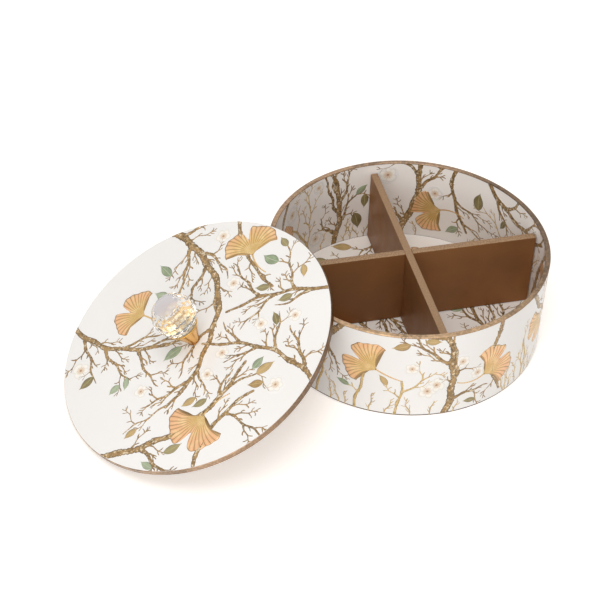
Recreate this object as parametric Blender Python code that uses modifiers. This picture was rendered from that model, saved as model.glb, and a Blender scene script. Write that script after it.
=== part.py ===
"""Roti box: a round box of wrapped board with a lift-out cross divider, and its lid.

The box stands on z = 0 with its axis on the origin. The lower divider lies along X and
the upper one along Y. The lid is off the box: its low edge stands on the floor and its
locating disc leans on the rim, with the crystal knob facing up and away from the box.
"""

import math

import bmesh
import bpy
from mathutils import Matrix, Vector

# Driving dimensions, in metres unless a name says otherwise

seat_gap = 0.0003
film_thickness = 0.0003
edge_round = 0.0004
cut_overrun = 0.001
cut_tolerance = 0.0000005

box_diameter = 0.203
box_height = 0.074
wall_thickness = 0.0025
wall_seam = 0.0004
film_rim_reveal = 0.0006
film_foot_reveal = 0.0006
base_thickness = 0.004

divider_thickness = 0.0055
divider_height = 0.061
divider_end_clearance = 0.0008

lid_diameter = 0.203
lid_board_thickness = 0.0044
lid_film_margin = 0.0005
locating_disc_thickness = 0.0027
locating_disc_clearance = 0.0038
locating_disc_hole_diameter = 0.014
lid_floor_gap = 0.0003
lean_azimuth_degrees = 195.15
lean_reach_share = 0.7856

screw_diameter = 0.004
screw_length = 0.016
screw_head_diameter = 0.008
screw_head_height = 0.0018
screw_recess_width = 0.0011
screw_recess_depth = 0.001
washer_diameter = 0.012
washer_thickness = 0.001

crystal_diameter = 0.031
crystal_centre_height = 0.0315
crystal_table_share = 0.80
crystal_seat_share = 0.86
facet_depth_share = 0.968
facets_around = 16
facet_row_degrees = (-48.0, -24.0, 0.0, 24.0, 45.0)

knob_neck_diameter = 0.0084
knob_foot_diameter = 0.0096
knob_foot_height = 0.0008
knob_cup_height = 0.0202
knob_cup_lip = 0.0008
knob_flare_power = 1.1

ring_steps = 96
knob_steps = 40
screw_steps = 24
round_segments = 1
arc_points = 4
flare_points = 9
merge_threshold = 0.00005

# Sizes that follow from them

box_radius = box_diameter / 2
wrap_inner_radius = box_radius - film_thickness
wall_outer_radius = wrap_inner_radius - seat_gap
wall_inner_radius = wall_outer_radius - wall_thickness
lining_outer_radius = wall_inner_radius - seat_gap
lining_inner_radius = lining_outer_radius - film_thickness
film_top = box_height - film_rim_reveal

base_radius = wall_inner_radius - seat_gap
lining_foot = base_thickness + seat_gap
floor_top = lining_foot + film_thickness
floor_liner_radius = lining_inner_radius - seat_gap

divider_foot = floor_top + seat_gap
divider_middle = divider_foot + divider_height / 2
divider_top = divider_foot + divider_height
divider_tip_radius = lining_inner_radius - divider_end_clearance
divider_half_length = math.sqrt(divider_tip_radius ** 2 - (divider_thickness / 2) ** 2)
slot_half_width = divider_thickness / 2 + seat_gap

lid_radius = lid_diameter / 2
lid_film_foot = lid_board_thickness + seat_gap
lid_face = lid_film_foot + film_thickness
locating_disc_radius = lining_inner_radius - locating_disc_clearance
locating_disc_top = -seat_gap
locating_disc_foot = locating_disc_top - locating_disc_thickness

screw_radius = screw_diameter / 2
screw_hole_radius = screw_radius + seat_gap
washer_top = -seat_gap
washer_foot = washer_top - washer_thickness
screw_head_top = washer_foot - seat_gap
screw_head_foot = screw_head_top - screw_head_height
screw_tip = screw_head_top + screw_length

crystal_radius = crystal_diameter / 2
crystal_centre = lid_face + crystal_centre_height
crystal_seat = crystal_centre - crystal_radius * crystal_seat_share
knob_foot = lid_face + seat_gap
knob_cup_top = lid_face + knob_cup_height
knob_cup_floor = crystal_seat - seat_gap
knob_cup_radius = crystal_radius + seat_gap
knob_hole_top = screw_tip + seat_gap

# Colours and finishes: base colour, roughness, metallic

painted_edge = ((0.33, 0.19, 0.09), 0.42, 0.25)
raw_board = ((0.47, 0.34, 0.22), 0.85, 0.0)
printed_film = ((0.86, 0.85, 0.83), 0.30, 0.0)
divider_paint = ((0.12, 0.055, 0.022), 0.38, 0.15)
gold_plate = ((0.83, 0.49, 0.16), 0.20, 1.0)
zinc_plate = ((0.62, 0.62, 0.60), 0.32, 1.0)
lead_crystal = ((0.95, 0.97, 0.98), 0.02, 0.0)


def clear_scene():
    """Remove every object that the file holds."""
    for old in list(bpy.data.objects):
        bpy.data.objects.remove(old, do_unlink=True)


def new_collection(name):
    """A collection of its own under the scene's."""
    made = bpy.data.collections.new(name)
    bpy.context.scene.collection.children.link(made)
    return made


def material(name, finish):
    """A Principled material from a colour, a roughness and a metallic value."""
    colour, roughness, metallic = finish
    made = bpy.data.materials.new(name)
    made.use_nodes = True
    shader = made.node_tree.nodes["Principled BSDF"]
    shader.inputs["Base Color"].default_value = (*colour, 1.0)
    shader.inputs["Roughness"].default_value = roughness
    shader.inputs["Metallic"].default_value = metallic
    made.diffuse_color = (*colour, 1.0)
    return made


def place(obj, collection, parent, finish):
    """Put an object in its collection, under its parent, with its own material."""
    collection.objects.link(obj)
    obj.parent = parent
    if finish is not None:
        obj.data.materials.append(material(obj.name, finish))
    return obj


def empty(name, collection, parent=None, pose=None):
    """An empty that carries the pieces of one body."""
    made = bpy.data.objects.new(name, None)
    collection.objects.link(made)
    made.parent = parent
    if pose is not None:
        made.matrix_local = pose
    return made


def mesh_object(name, bm):
    """An object from a bmesh, which is freed."""
    data = bpy.data.meshes.new(name)
    bm.to_mesh(data)
    bm.free()
    return bpy.data.objects.new(name, data)


def profile_object(name, points, closed):
    """Edges through (radius, height) points, for a Screw modifier."""
    bm = bmesh.new()
    verts = [bm.verts.new((radius, 0.0, height)) for radius, height in points]
    for first, second in zip(verts, verts[1:]):
        bm.edges.new((first, second))
    if closed:
        bm.edges.new((verts[-1], verts[0]))
    return mesh_object(name, bm)


def turn(obj, steps, angle=math.tau):
    """Spin a profile about Z. A full turn closes on itself."""
    spin = obj.modifiers.new("turn", "SCREW")
    spin.angle = angle
    spin.steps = steps
    spin.render_steps = steps
    spin.use_merge_vertices = angle == math.tau
    spin.merge_threshold = merge_threshold
    spin.use_smooth_shade = True
    return obj


def round_edges(obj, width):
    """Round the sharp edges with a narrow bevel."""
    bevel = obj.modifiers.new("round_edges", "BEVEL")
    bevel.width = width
    bevel.segments = round_segments
    bevel.limit_method = "ANGLE"
    bevel.angle_limit = math.radians(40.0)
    return obj


def ring(name, inner, outer, low, high, steps=ring_steps):
    """A flat or upright ring of rectangular section, turned about Z."""
    points = [(inner, high), (outer, high), (outer, low), (inner, low)]
    return turn(profile_object(name, points, closed=True), steps)


def disc(name, radius, low, high):
    """A round board between two heights."""
    bm = bmesh.new()
    middle = Matrix.Translation((0.0, 0.0, (low + high) / 2))
    bmesh.ops.create_cone(
        bm, cap_ends=True, segments=ring_steps, radius1=radius, radius2=radius,
        depth=high - low, matrix=middle)
    made = mesh_object(name, bm)
    made.data.shade_smooth()
    made.data.set_sharp_from_angle(angle=math.radians(30.0))
    return made


def arc(centre_radius, centre_height, radius, start, end, count):
    """Points of a circular arc in the profile's plane, its angles in radians."""
    turned = [start + (end - start) * step / (count - 1) for step in range(count)]
    return [(centre_radius + radius * math.cos(angle), centre_height + radius * math.sin(angle))
            for angle in turned]


def side_wall():
    """A board strip bent into a ring, its ends butted at the back with a fine seam."""
    seam_angle = wall_seam / wall_inner_radius
    line = [(wall_inner_radius, box_height), (wall_inner_radius, 0.0)]
    made = turn(profile_object("side_wall", line, closed=False), ring_steps, math.tau - seam_angle)
    shell = made.modifiers.new("board", "SOLIDIFY")
    shell.thickness = wall_thickness
    shell.offset = 1.0
    made.rotation_euler.z = math.pi / 2 + seam_angle / 2
    return round_edges(made, edge_round)


def divider(name, slot_from_above):
    """A board on edge along X, with the half-lap slot for its partner at the middle."""
    if slot_from_above:
        notch = divider_middle - seat_gap
        outline = [
            (-divider_half_length, divider_foot), (divider_half_length, divider_foot),
            (divider_half_length, divider_top), (slot_half_width, divider_top),
            (slot_half_width, notch), (-slot_half_width, notch),
            (-slot_half_width, divider_top), (-divider_half_length, divider_top)]
    else:
        outline = [
            (-divider_half_length, divider_foot), (-slot_half_width, divider_foot),
            (-slot_half_width, divider_middle), (slot_half_width, divider_middle),
            (slot_half_width, divider_foot), (divider_half_length, divider_foot),
            (divider_half_length, divider_top), (-divider_half_length, divider_top)]
    curve = bpy.data.curves.new(name, "CURVE")
    curve.dimensions = "2D"
    curve.fill_mode = "BOTH"
    curve.extrude = divider_thickness / 2
    spline = curve.splines.new("POLY")
    spline.points.add(len(outline) - 1)
    for point, (along, height) in zip(spline.points, outline):
        point.co = (along, height, 0.0, 1.0)
    spline.use_cyclic_u = True
    made = bpy.data.objects.new(name, curve)
    weld = made.modifiers.new("weld", "WELD")
    weld.merge_threshold = merge_threshold
    made.rotation_euler.x = math.pi / 2
    return round_edges(made, edge_round)


def knob_base():
    """A turned bell: foot bead, neck, flare and a shallow cup that seats the crystal."""
    rim_turn = math.asin((crystal_centre - knob_cup_top) / knob_cup_radius)
    floor_turn = math.asin((crystal_centre - knob_cup_floor) / knob_cup_radius)
    seat = arc(0.0, crystal_centre, knob_cup_radius, -floor_turn, -rim_turn, arc_points)
    cup_outer = seat[-1][0] + knob_cup_lip
    neck = knob_neck_diameter / 2
    flare_foot = knob_foot + knob_foot_height
    flare = []
    for step in range(flare_points):
        share = 1.0 - step / (flare_points - 1)
        radius = neck + (cup_outer - neck) * share ** knob_flare_power
        flare.append((radius, flare_foot + (knob_cup_top - knob_cup_lip - flare_foot) * share))
    bead = arc(knob_foot_diameter / 2 - knob_foot_height / 2, knob_foot + knob_foot_height / 2,
               knob_foot_height / 2, math.pi / 2, -math.pi / 2, arc_points)
    lip = arc(cup_outer - knob_cup_lip / 2, knob_cup_top - knob_cup_lip / 2,
              knob_cup_lip / 2, math.pi / 2, 0.0, arc_points)
    points = [(0.0, knob_cup_floor)] + seat + lip + flare + bead
    points += [(screw_hole_radius, knob_foot), (screw_hole_radius, knob_hole_top), (0.0, knob_hole_top)]
    return turn(profile_object("knob_base", points, closed=False), knob_steps)


def knob_crystal():
    """A ball of lead crystal, ground one flat at a time: each facet is one plane cut."""
    bm = bmesh.new()
    bmesh.ops.create_cube(bm, size=crystal_diameter + cut_overrun)
    flats = [(Vector((0.0, 0.0, 1.0)), crystal_radius * crystal_table_share),
             (Vector((0.0, 0.0, -1.0)), crystal_radius * crystal_seat_share)]
    for row, degrees in enumerate(facet_row_degrees):
        tilt = math.radians(degrees)
        for index in range(facets_around):
            heading = math.tau * (index + row % 2 / 2) / facets_around
            normal = Vector((math.cos(tilt) * math.cos(heading), math.cos(tilt) * math.sin(heading),
                             math.sin(tilt)))
            flats.append((normal, crystal_radius * facet_depth_share))
    for normal, depth in flats:
        bmesh.ops.bisect_plane(
            bm, geom=bm.verts[:] + bm.edges[:] + bm.faces[:], dist=cut_tolerance,
            plane_co=normal * depth, plane_no=normal, clear_outer=True)
        rim = [edge for edge in bm.edges if edge.is_boundary]
        bmesh.ops.holes_fill(bm, edges=rim, sides=0)
    bmesh.ops.recalc_face_normals(bm, faces=bm.faces[:])
    made = mesh_object("knob_crystal", bm)
    made.location.z = crystal_centre
    return made


def knob_screw(cutters):
    """A pan-head machine screw, from below, with a cross recess in its head."""
    head = screw_head_diameter / 2
    crown = head - screw_head_height / 2
    shank_end = screw_radius - edge_round
    points = [(0.0, screw_tip), (shank_end, screw_tip), (screw_radius, screw_tip - edge_round),
              (screw_radius, screw_head_top), (head, screw_head_top)]
    points += arc(crown, screw_head_foot + screw_head_height / 2, screw_head_height / 2,
                  0.0, -math.pi / 2, arc_points)
    points.append((0.0, screw_head_foot))
    made = turn(profile_object("knob_screw", points, closed=False), screw_steps)
    slot = (screw_head_diameter / 2, screw_recess_width, screw_recess_depth * 2)
    for turned in (0.0, math.pi / 2):
        bm = bmesh.new()
        bmesh.ops.create_cube(bm, size=1.0)
        bmesh.ops.scale(bm, vec=slot, verts=bm.verts)
        bmesh.ops.translate(bm, vec=(0.0, 0.0, screw_head_foot), verts=bm.verts)
        bmesh.ops.rotate(bm, matrix=Matrix.Rotation(turned, 3, "Z"), verts=bm.verts)
        blade = mesh_object("screw_recess_cutter", bm)
        cutters.objects.link(blade)
        blade.hide_render = True
        blade.display_type = "WIRE"
        recess = made.modifiers.new("recess", "BOOLEAN")
        recess.operation = "DIFFERENCE"
        recess.solver = "EXACT"
        recess.object = blade
    return made


def lean_drop(tilt):
    """How far the lid's lowest point lies under its centre, which either edge may set."""
    board_edge = lid_radius * math.sin(tilt)
    disc_edge = locating_disc_radius * math.sin(tilt) - locating_disc_foot * math.cos(tilt)
    return max(board_edge, disc_edge)


def rim_reach(tilt):
    """How far the rim reaches along the leaning lid's normal, at its highest corner."""
    corners = [(wall_outer_radius - edge_round, box_height), (box_radius, film_top)]
    return max(radius * math.sin(tilt) + height * math.cos(tilt) for radius, height in corners)


def lean_pose():
    """The lid's pose: low edge on the floor, locating disc on the rim.

    In the upright plane of the lean, the contact lies a set way up the disc from its
    centre. The tilt that brings it to the height of the rim is found by halving.
    """
    reach = locating_disc_radius * lean_reach_share
    depth = seat_gap - locating_disc_foot
    low, high = 0.0, math.pi / 2
    while high - low > math.radians(0.0001):
        tilt = (low + high) / 2
        contact = lean_drop(tilt) + lid_floor_gap + reach * math.sin(tilt) - depth * math.cos(tilt)
        low, high = (tilt, high) if contact < box_height else (low, tilt)
    height = lean_drop(tilt) + lid_floor_gap
    distance = (rim_reach(tilt) + depth - height * math.cos(tilt)) / math.sin(tilt)
    azimuth = math.radians(lean_azimuth_degrees)
    centre = Vector((distance * math.cos(azimuth), distance * math.sin(azimuth), height))
    heading = Matrix.Rotation(azimuth, 4, "Z")
    return Matrix.Translation(centre) @ heading @ Matrix.Rotation(tilt, 4, "Y")


def build_box(parts, carrier):
    """The box: base board, bent wall and the printed films on them."""
    board = round_edges(disc("base_board", base_radius, 0.0, base_thickness), edge_round)
    place(board, parts, carrier, raw_board)
    place(side_wall(), parts, carrier, painted_edge)
    wrap = ring("outer_wrap", wrap_inner_radius, box_radius, film_foot_reveal, film_top)
    place(wrap, parts, carrier, printed_film)
    lining = ring("inner_lining", lining_inner_radius, lining_outer_radius, lining_foot, film_top)
    place(lining, parts, carrier, printed_film)
    liner = disc("floor_liner", floor_liner_radius, lining_foot, floor_top)
    place(liner, parts, carrier, printed_film)


def build_dividers(parts, carrier):
    """The cross: the upper board's slot drops over the lower board's."""
    cross = empty("cross_divider_lift", parts, carrier)
    place(divider("lower_divider", slot_from_above=True), parts, cross, divider_paint)
    upper_lift = empty("upper_divider_lift", parts, cross, Matrix.Rotation(math.pi / 2, 4, "Z"))
    place(divider("upper_divider", slot_from_above=False), parts, upper_lift, divider_paint)


def build_lid(parts, cutters, carrier):
    """The lid's pieces, stacked about its own axis from the board's underside."""
    lid = empty("lid_lift", parts, carrier, lean_pose())
    board = round_edges(
        ring("lid_board", screw_hole_radius, lid_radius, 0.0, lid_board_thickness), edge_round)
    place(board, parts, lid, painted_edge)
    film_radius = lid_radius - lid_film_margin
    film = ring("lid_top_film", screw_hole_radius, film_radius, lid_film_foot, lid_face)
    place(film, parts, lid, printed_film)
    locating = round_edges(
        ring("lid_locating_disc", locating_disc_hole_diameter / 2, locating_disc_radius,
             locating_disc_foot, locating_disc_top), edge_round)
    place(locating, parts, lid, divider_paint)
    washer = ring("knob_washer", screw_hole_radius, washer_diameter / 2, washer_foot, washer_top,
                  knob_steps)
    place(washer, parts, lid, zinc_plate)
    place(knob_screw(cutters), parts, lid, zinc_plate)
    place(knob_base(), parts, lid, gold_plate)
    place(knob_crystal(), parts, lid, lead_crystal)


def main():
    clear_scene()
    parts = new_collection("roti_box")
    cutters = new_collection("cutters")
    carrier = empty("roti_box_origin", parts)
    build_box(parts, carrier)
    build_dividers(parts, carrier)
    build_lid(parts, cutters, carrier)


if __name__ == "__main__":
    main()
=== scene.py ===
"""The looks of a round roti box: wrapped walls, printed films, painted board and a crystal knob.

Laid out as an add-on and run as a script. Each operator makes one piece or one group of
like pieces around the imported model, which gives every place and size.
"""

import math
from collections import namedtuple

import bmesh
import bpy
import numpy as np
from bpy.props import FloatProperty, FloatVectorProperty, IntProperty, PointerProperty
from mathutils import Matrix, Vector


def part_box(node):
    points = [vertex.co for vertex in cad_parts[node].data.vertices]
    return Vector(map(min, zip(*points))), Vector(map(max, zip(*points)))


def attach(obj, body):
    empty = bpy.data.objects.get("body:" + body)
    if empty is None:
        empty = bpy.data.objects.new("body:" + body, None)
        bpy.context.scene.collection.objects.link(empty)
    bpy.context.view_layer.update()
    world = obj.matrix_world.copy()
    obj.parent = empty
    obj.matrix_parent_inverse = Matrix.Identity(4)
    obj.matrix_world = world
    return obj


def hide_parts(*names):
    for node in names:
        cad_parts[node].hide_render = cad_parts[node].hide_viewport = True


bl_info = {
    "name": "Roti Box Finish",
    "version": (1, 0, 0),
    "blender": (4, 5, 0),
    "location": "View3D > Sidebar > Roti Box",
    "description": "Dresses the roti box: films, prints, painted boards, crystal knob and stage",
    "category": "Object",
}

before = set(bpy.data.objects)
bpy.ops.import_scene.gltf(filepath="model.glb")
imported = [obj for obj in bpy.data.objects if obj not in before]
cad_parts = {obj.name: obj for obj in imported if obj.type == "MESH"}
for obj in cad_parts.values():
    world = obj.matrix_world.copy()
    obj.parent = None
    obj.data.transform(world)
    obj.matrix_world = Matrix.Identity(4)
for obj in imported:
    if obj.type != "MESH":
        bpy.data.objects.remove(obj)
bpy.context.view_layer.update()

TAU = 2.0 * math.pi
# Steps of a full turn, on box and lid and on the knob
TURN_STEPS = 360
KNOB_STEPS = 96
# Depth of a film in the finish, how far one part laps another, and how far the printed
# faces stay inside the model's own: in reliefs of the print, and as lengths
FILM = 0.0002
LAP = 0.0001
FACE_ROOM = 1.3
WALL_INSET = 0.00001
LID_INSET = 0.00015
# The model's lining is a ring of this many flats
LINING_FLATS = 96
# How far out the points that flatten a corner's sides lie, in tangent lengths
LEAD = 1.3
# A slot's edges are rounded by this share of the others, and no corner by less than this
SLOT_CRISP = 0.2
LEAST_ROUND = 0.00004
# The crystal's girdle is where its radius is over this share of the greatest
GIRDLE = 0.985


def node_points(node):
    """A node's points, one to a row."""
    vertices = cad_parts[node].data.vertices
    points = np.empty(len(vertices) * 3)
    vertices.foreach_get("co", points)
    return points.reshape(-1, 3)


def axis_frame(node):
    """Centre, unit axis and a level side of a flat round node, from its own points.

    The axis is the direction in which the points spread least, turned upwards.
    """
    points = np.unique(np.round(node_points(node), 7), axis=0)
    centre = (points.max(axis=0) + points.min(axis=0)) / 2
    spread = np.linalg.svd(points - points.mean(axis=0), full_matrices=False)[2]
    axis = spread[2] * np.sign(spread[2][2])
    down = np.array([axis[0], axis[1], 0.0]) * axis[2] - np.array([0.0, 0.0, 1.0]) * (
        axis[0] ** 2 + axis[1] ** 2)
    down /= np.linalg.norm(down)
    return centre, axis, down


def along_and_out(node, origin, axis):
    """Each point of a node as its place along an axis and its distance from it."""
    points = node_points(node) - origin
    along = points @ axis
    return along, np.linalg.norm(points - along[:, None] * axis, axis=1)


def node_span(node, origin, axis):
    """Lowest and highest place of a node along an axis, and its inner and outer radius."""
    along, out = along_and_out(node, origin, axis)
    return along.min(), along.max(), out.min(), out.max()


def box_span(node):
    """A node's span about the box's own axis."""
    return node_span(node, np.zeros(3), np.array([0.0, 0.0, 1.0]))


class RotiSizes(bpy.types.PropertyGroup):
    """Sizes of the finish that a user would change."""

    rim_round: FloatProperty(
        name="Rim round", description="Radius of the painted rim's edges",
        default=0.0007, min=0.0001, max=0.0012, unit="LENGTH")
    edge_round: FloatProperty(
        name="Edge round", description="Radius of the boards' painted edges",
        default=0.0006, min=0.0001, max=0.0012, unit="LENGTH")
    foot_gap: FloatProperty(
        name="Foot gap", description="How far the outside film stops short of its full depth",
        default=0.0006, min=0.0, max=0.001, unit="LENGTH")
    slot_gap: FloatProperty(
        name="Slot gap", description="Play between the dividers in their half-lap",
        default=0.00008, min=0.00002, max=0.0003, unit="LENGTH")
    relief: FloatProperty(
        name="Print relief", description="How far the foil of the print stands out of the film",
        default=0.00009, min=0.00002, max=0.0002, unit="LENGTH")
    limb_width: FloatProperty(
        name="Limb width", description="Width of a printed limb at its root",
        default=0.0064, min=0.001, max=0.008, unit="LENGTH")
    leaf_length: FloatProperty(
        name="Leaf length", description="Length of a printed leaf",
        default=0.0150, min=0.005, max=0.03, unit="LENGTH")
    fan_length: FloatProperty(
        name="Fan leaf length", description="Length of a printed gold fan leaf",
        default=0.0240, min=0.01, max=0.05, unit="LENGTH")
    blossom_radius: FloatProperty(
        name="Blossom radius", description="Radius of a printed blossom",
        default=0.0080, min=0.002, max=0.012, unit="LENGTH")
    facet_edge: FloatProperty(
        name="Facet edge", description="Width of the polished edge between two facets",
        default=0.00026, min=0.00002, max=0.0005, unit="LENGTH")
    knob_gap: FloatProperty(
        name="Knob gap", description="Glue gap between the crystal and its hollow",
        default=0.0003, min=0.0001, max=0.001, unit="LENGTH")
    knob_lip: FloatProperty(
        name="Knob lip", description="Thickness of the bell's lip",
        default=0.0005, min=0.0002, max=0.001, unit="LENGTH")
    knob_neck: FloatProperty(
        name="Knob neck", description="Radius of the bell's neck",
        default=0.0042, min=0.003, max=0.006, unit="LENGTH")
    knob_foot: FloatProperty(
        name="Knob foot", description="Radius of the bell's foot",
        default=0.0046, min=0.003, max=0.007, unit="LENGTH")
    knob_bead: FloatProperty(
        name="Knob bead", description="Radius of the bead round the bell's foot",
        default=0.00025, min=0.0002, max=0.001, unit="LENGTH")
    seed: IntProperty(
        name="Print seed", description="Chooses how the printed twigs grow", default=7, min=0)


class RotiColours(bpy.types.PropertyGroup):
    """Colours of the finish."""

    film: FloatVectorProperty(
        name="Film", description="Ground of the printed film", subtype="COLOR", size=3,
        default=(0.835, 0.820, 0.800), min=0.0, max=1.0)
    edge_paint: FloatVectorProperty(
        name="Edge paint", description="Copper brown paint of rim and lid edge", subtype="COLOR",
        size=3, default=(0.350, 0.220, 0.126), min=0.0, max=1.0)
    divider_paint: FloatVectorProperty(
        name="Divider paint", description="Brown paint of the dividers' faces", subtype="COLOR",
        size=3, default=(0.228, 0.102, 0.038), min=0.0, max=1.0)
    divider_edge: FloatVectorProperty(
        name="Divider edge", description="Tan paint of the dividers' top edges", subtype="COLOR",
        size=3, default=(0.330, 0.205, 0.115), min=0.0, max=1.0)
    bark: FloatVectorProperty(
        name="Bark", description="Brown gold of the printed limbs", subtype="COLOR", size=3,
        default=(0.275, 0.172, 0.070), min=0.0, max=1.0)
    sage: FloatVectorProperty(
        name="Sage leaf", description="Green of the printed leaves", subtype="COLOR", size=3,
        default=(0.200, 0.250, 0.145), min=0.0, max=1.0)
    olive: FloatVectorProperty(
        name="Olive leaf", description="Olive brown of the printed leaves", subtype="COLOR",
        size=3, default=(0.150, 0.115, 0.045), min=0.0, max=1.0)
    bronze: FloatVectorProperty(
        name="Bronze leaf", description="Bronze of the printed leaves", subtype="COLOR", size=3,
        default=(0.300, 0.190, 0.070), min=0.0, max=1.0)
    gold: FloatVectorProperty(
        name="Gold fan", description="Gold of the printed fan leaves", subtype="COLOR", size=3,
        default=(0.660, 0.430, 0.150), min=0.0, max=1.0)
    knob_gold: FloatVectorProperty(
        name="Knob gold", description="Gold plate of the knob's base", subtype="COLOR", size=3,
        default=(0.820, 0.475, 0.125), min=0.0, max=1.0)
    floor: FloatVectorProperty(
        name="Floor", description="Pale floor", subtype="COLOR", size=3,
        default=(0.800, 0.790, 0.780), min=0.0, max=1.0)


def build_mesh(name, points, faces, uv=None, tone=None, smooth=True):
    """A mesh object from arrays. uv and tone hold one value per point."""
    data = bpy.data.meshes.new(name)
    data.from_pydata(points.tolist(), [], faces)
    corners = np.empty(len(data.loops), dtype=np.int32)
    data.loops.foreach_get("vertex_index", corners)
    if uv is not None:
        layer = data.uv_layers.new(name="UVMap")
        layer.data.foreach_set("uv", uv[corners].astype(np.float32).ravel())
    if tone is not None:
        attribute = data.attributes.new("tone", "FLOAT", "POINT")
        attribute.data.foreach_set("value", tone.astype(np.float32))
    data.polygons.foreach_set("use_smooth", np.full(len(data.polygons), smooth))
    data.update()
    made = bpy.data.objects.new(name, data)
    bpy.context.scene.collection.objects.link(made)
    return made


def fillet(corners, radii, count=5):
    """Points of a closed outline whose corners are rounded by arcs of the given radii.

    Each arc is swept from one tangent point to the other, about the centre that lies on
    the corner's bisector at the radius over the sine of the half angle. A point on either
    side of it keeps the straight runs flat in shading.
    """
    corners = np.asarray(corners, dtype=float)
    out = []
    for index, corner in enumerate(corners):
        back = corners[index - 1] - corner
        ahead = corners[(index + 1) % len(corners)] - corner
        back /= np.linalg.norm(back)
        ahead /= np.linalg.norm(ahead)
        half = math.acos(np.clip(back @ ahead, -1.0, 1.0)) / 2
        reach = radii[index] / math.tan(half)
        middle = (back + ahead) / np.linalg.norm(back + ahead)
        centre = corner + middle * radii[index] / math.sin(half)
        first, last = corner + back * reach - centre, corner + ahead * reach - centre
        share = np.linspace(0.0, 1.0, count)[:, None]
        mixed = first * (1.0 - share) + last * share
        mixed *= radii[index] / np.linalg.norm(mixed, axis=1)[:, None]
        lead = reach * LEAD
        out.append(np.concatenate([(corner + back * lead)[None], centre + mixed,
                                   (corner + ahead * lead)[None]]))
    return np.concatenate(out)


def revolve(name, profile, place, steps=TURN_STEPS, closed=True, tone=None, crease=35.0):
    """A turned solid: point (u, v) is the profile's point v, turned by u about the axis.

    The profile holds (radius, height) pairs and runs down its outer side. place maps
    (x, y, height) about the axis to the row frame. Points on the axis are merged. tone
    holds one value for each point of the profile, and edges sharper than the crease, in
    degrees, stay sharp.
    """
    turned = np.linspace(0.0, TAU, steps, endpoint=False)
    radius, height = profile[:, 0], profile[:, 1]
    x = np.cos(turned)[:, None] * radius[None]
    y = np.sin(turned)[:, None] * radius[None]
    z = np.broadcast_to(height[None], x.shape)
    count = len(profile)
    points = place(x.ravel(), y.ravel(), z.ravel())
    across = np.arange(count if closed else count - 1)
    first = (np.arange(steps)[:, None] * count + across[None]).ravel()
    beside = (np.arange(steps)[:, None] * count + ((across + 1) % count)[None]).ravel()
    onward = np.arange(steps)[:, None] * count + count
    ahead = ((onward + across[None]) % (steps * count)).ravel()
    ahead_beside = ((onward + ((across + 1) % count)[None]) % (steps * count)).ravel()
    faces = np.stack([first, beside, ahead_beside, ahead], axis=1)
    along = np.linalg.norm(np.diff(profile, axis=0), axis=1)
    run = np.concatenate([[0.0], np.cumsum(along)])
    uv = np.stack(np.broadcast_arrays(turned[:, None] / TAU, (run / run[-1])[None]), axis=2)
    shade = None if tone is None else np.tile(tone, steps)
    made = build_mesh(name, points, faces.tolist(), uv.reshape(-1, 2), shade)
    tidy_mesh(made)
    sharpen(made, crease)
    return made


def tidy_mesh(made):
    """Merge what meets, drop what has no area and turn every face outwards."""
    touching = 0.0000005
    bm = bmesh.new()
    bm.from_mesh(made.data)
    bmesh.ops.remove_doubles(bm, verts=bm.verts, dist=touching)
    bmesh.ops.dissolve_degenerate(bm, dist=touching, edges=bm.edges)
    bmesh.ops.recalc_face_normals(bm, faces=bm.faces)
    bm.to_mesh(made.data)
    bm.free()


def sharpen(made, degrees=35.0):
    """Smooth shading that breaks at edges sharper than the angle."""
    made.data.set_sharp_from_angle(angle=math.radians(degrees))


def upright(x, y, z):
    """The box's own frame, which is the row frame."""
    return np.stack([x, y, z], axis=-1)


class LidFrame:
    """The lid's frame, read from its locating disc: origin on the board's underside."""

    def __init__(self):
        centre, axis, down = axis_frame("lid_locating_disc")
        low = node_span("lid_board", centre, axis)[0]
        self.origin = centre + axis * low
        self.axis = axis
        self.side = down
        self.other = np.cross(axis, down)

    def place(self, x, y, z):
        """Point (x, y) across the lid and z along its axis, in the row frame."""
        return (self.origin + np.multiply.outer(x, self.side) + np.multiply.outer(y, self.other)
                + np.multiply.outer(z, self.axis))

    def span(self, node):
        """A node's lowest and highest place on the lid's axis, and its radii."""
        return node_span(node, self.origin, self.axis)


lid_frame = LidFrame()


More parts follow.
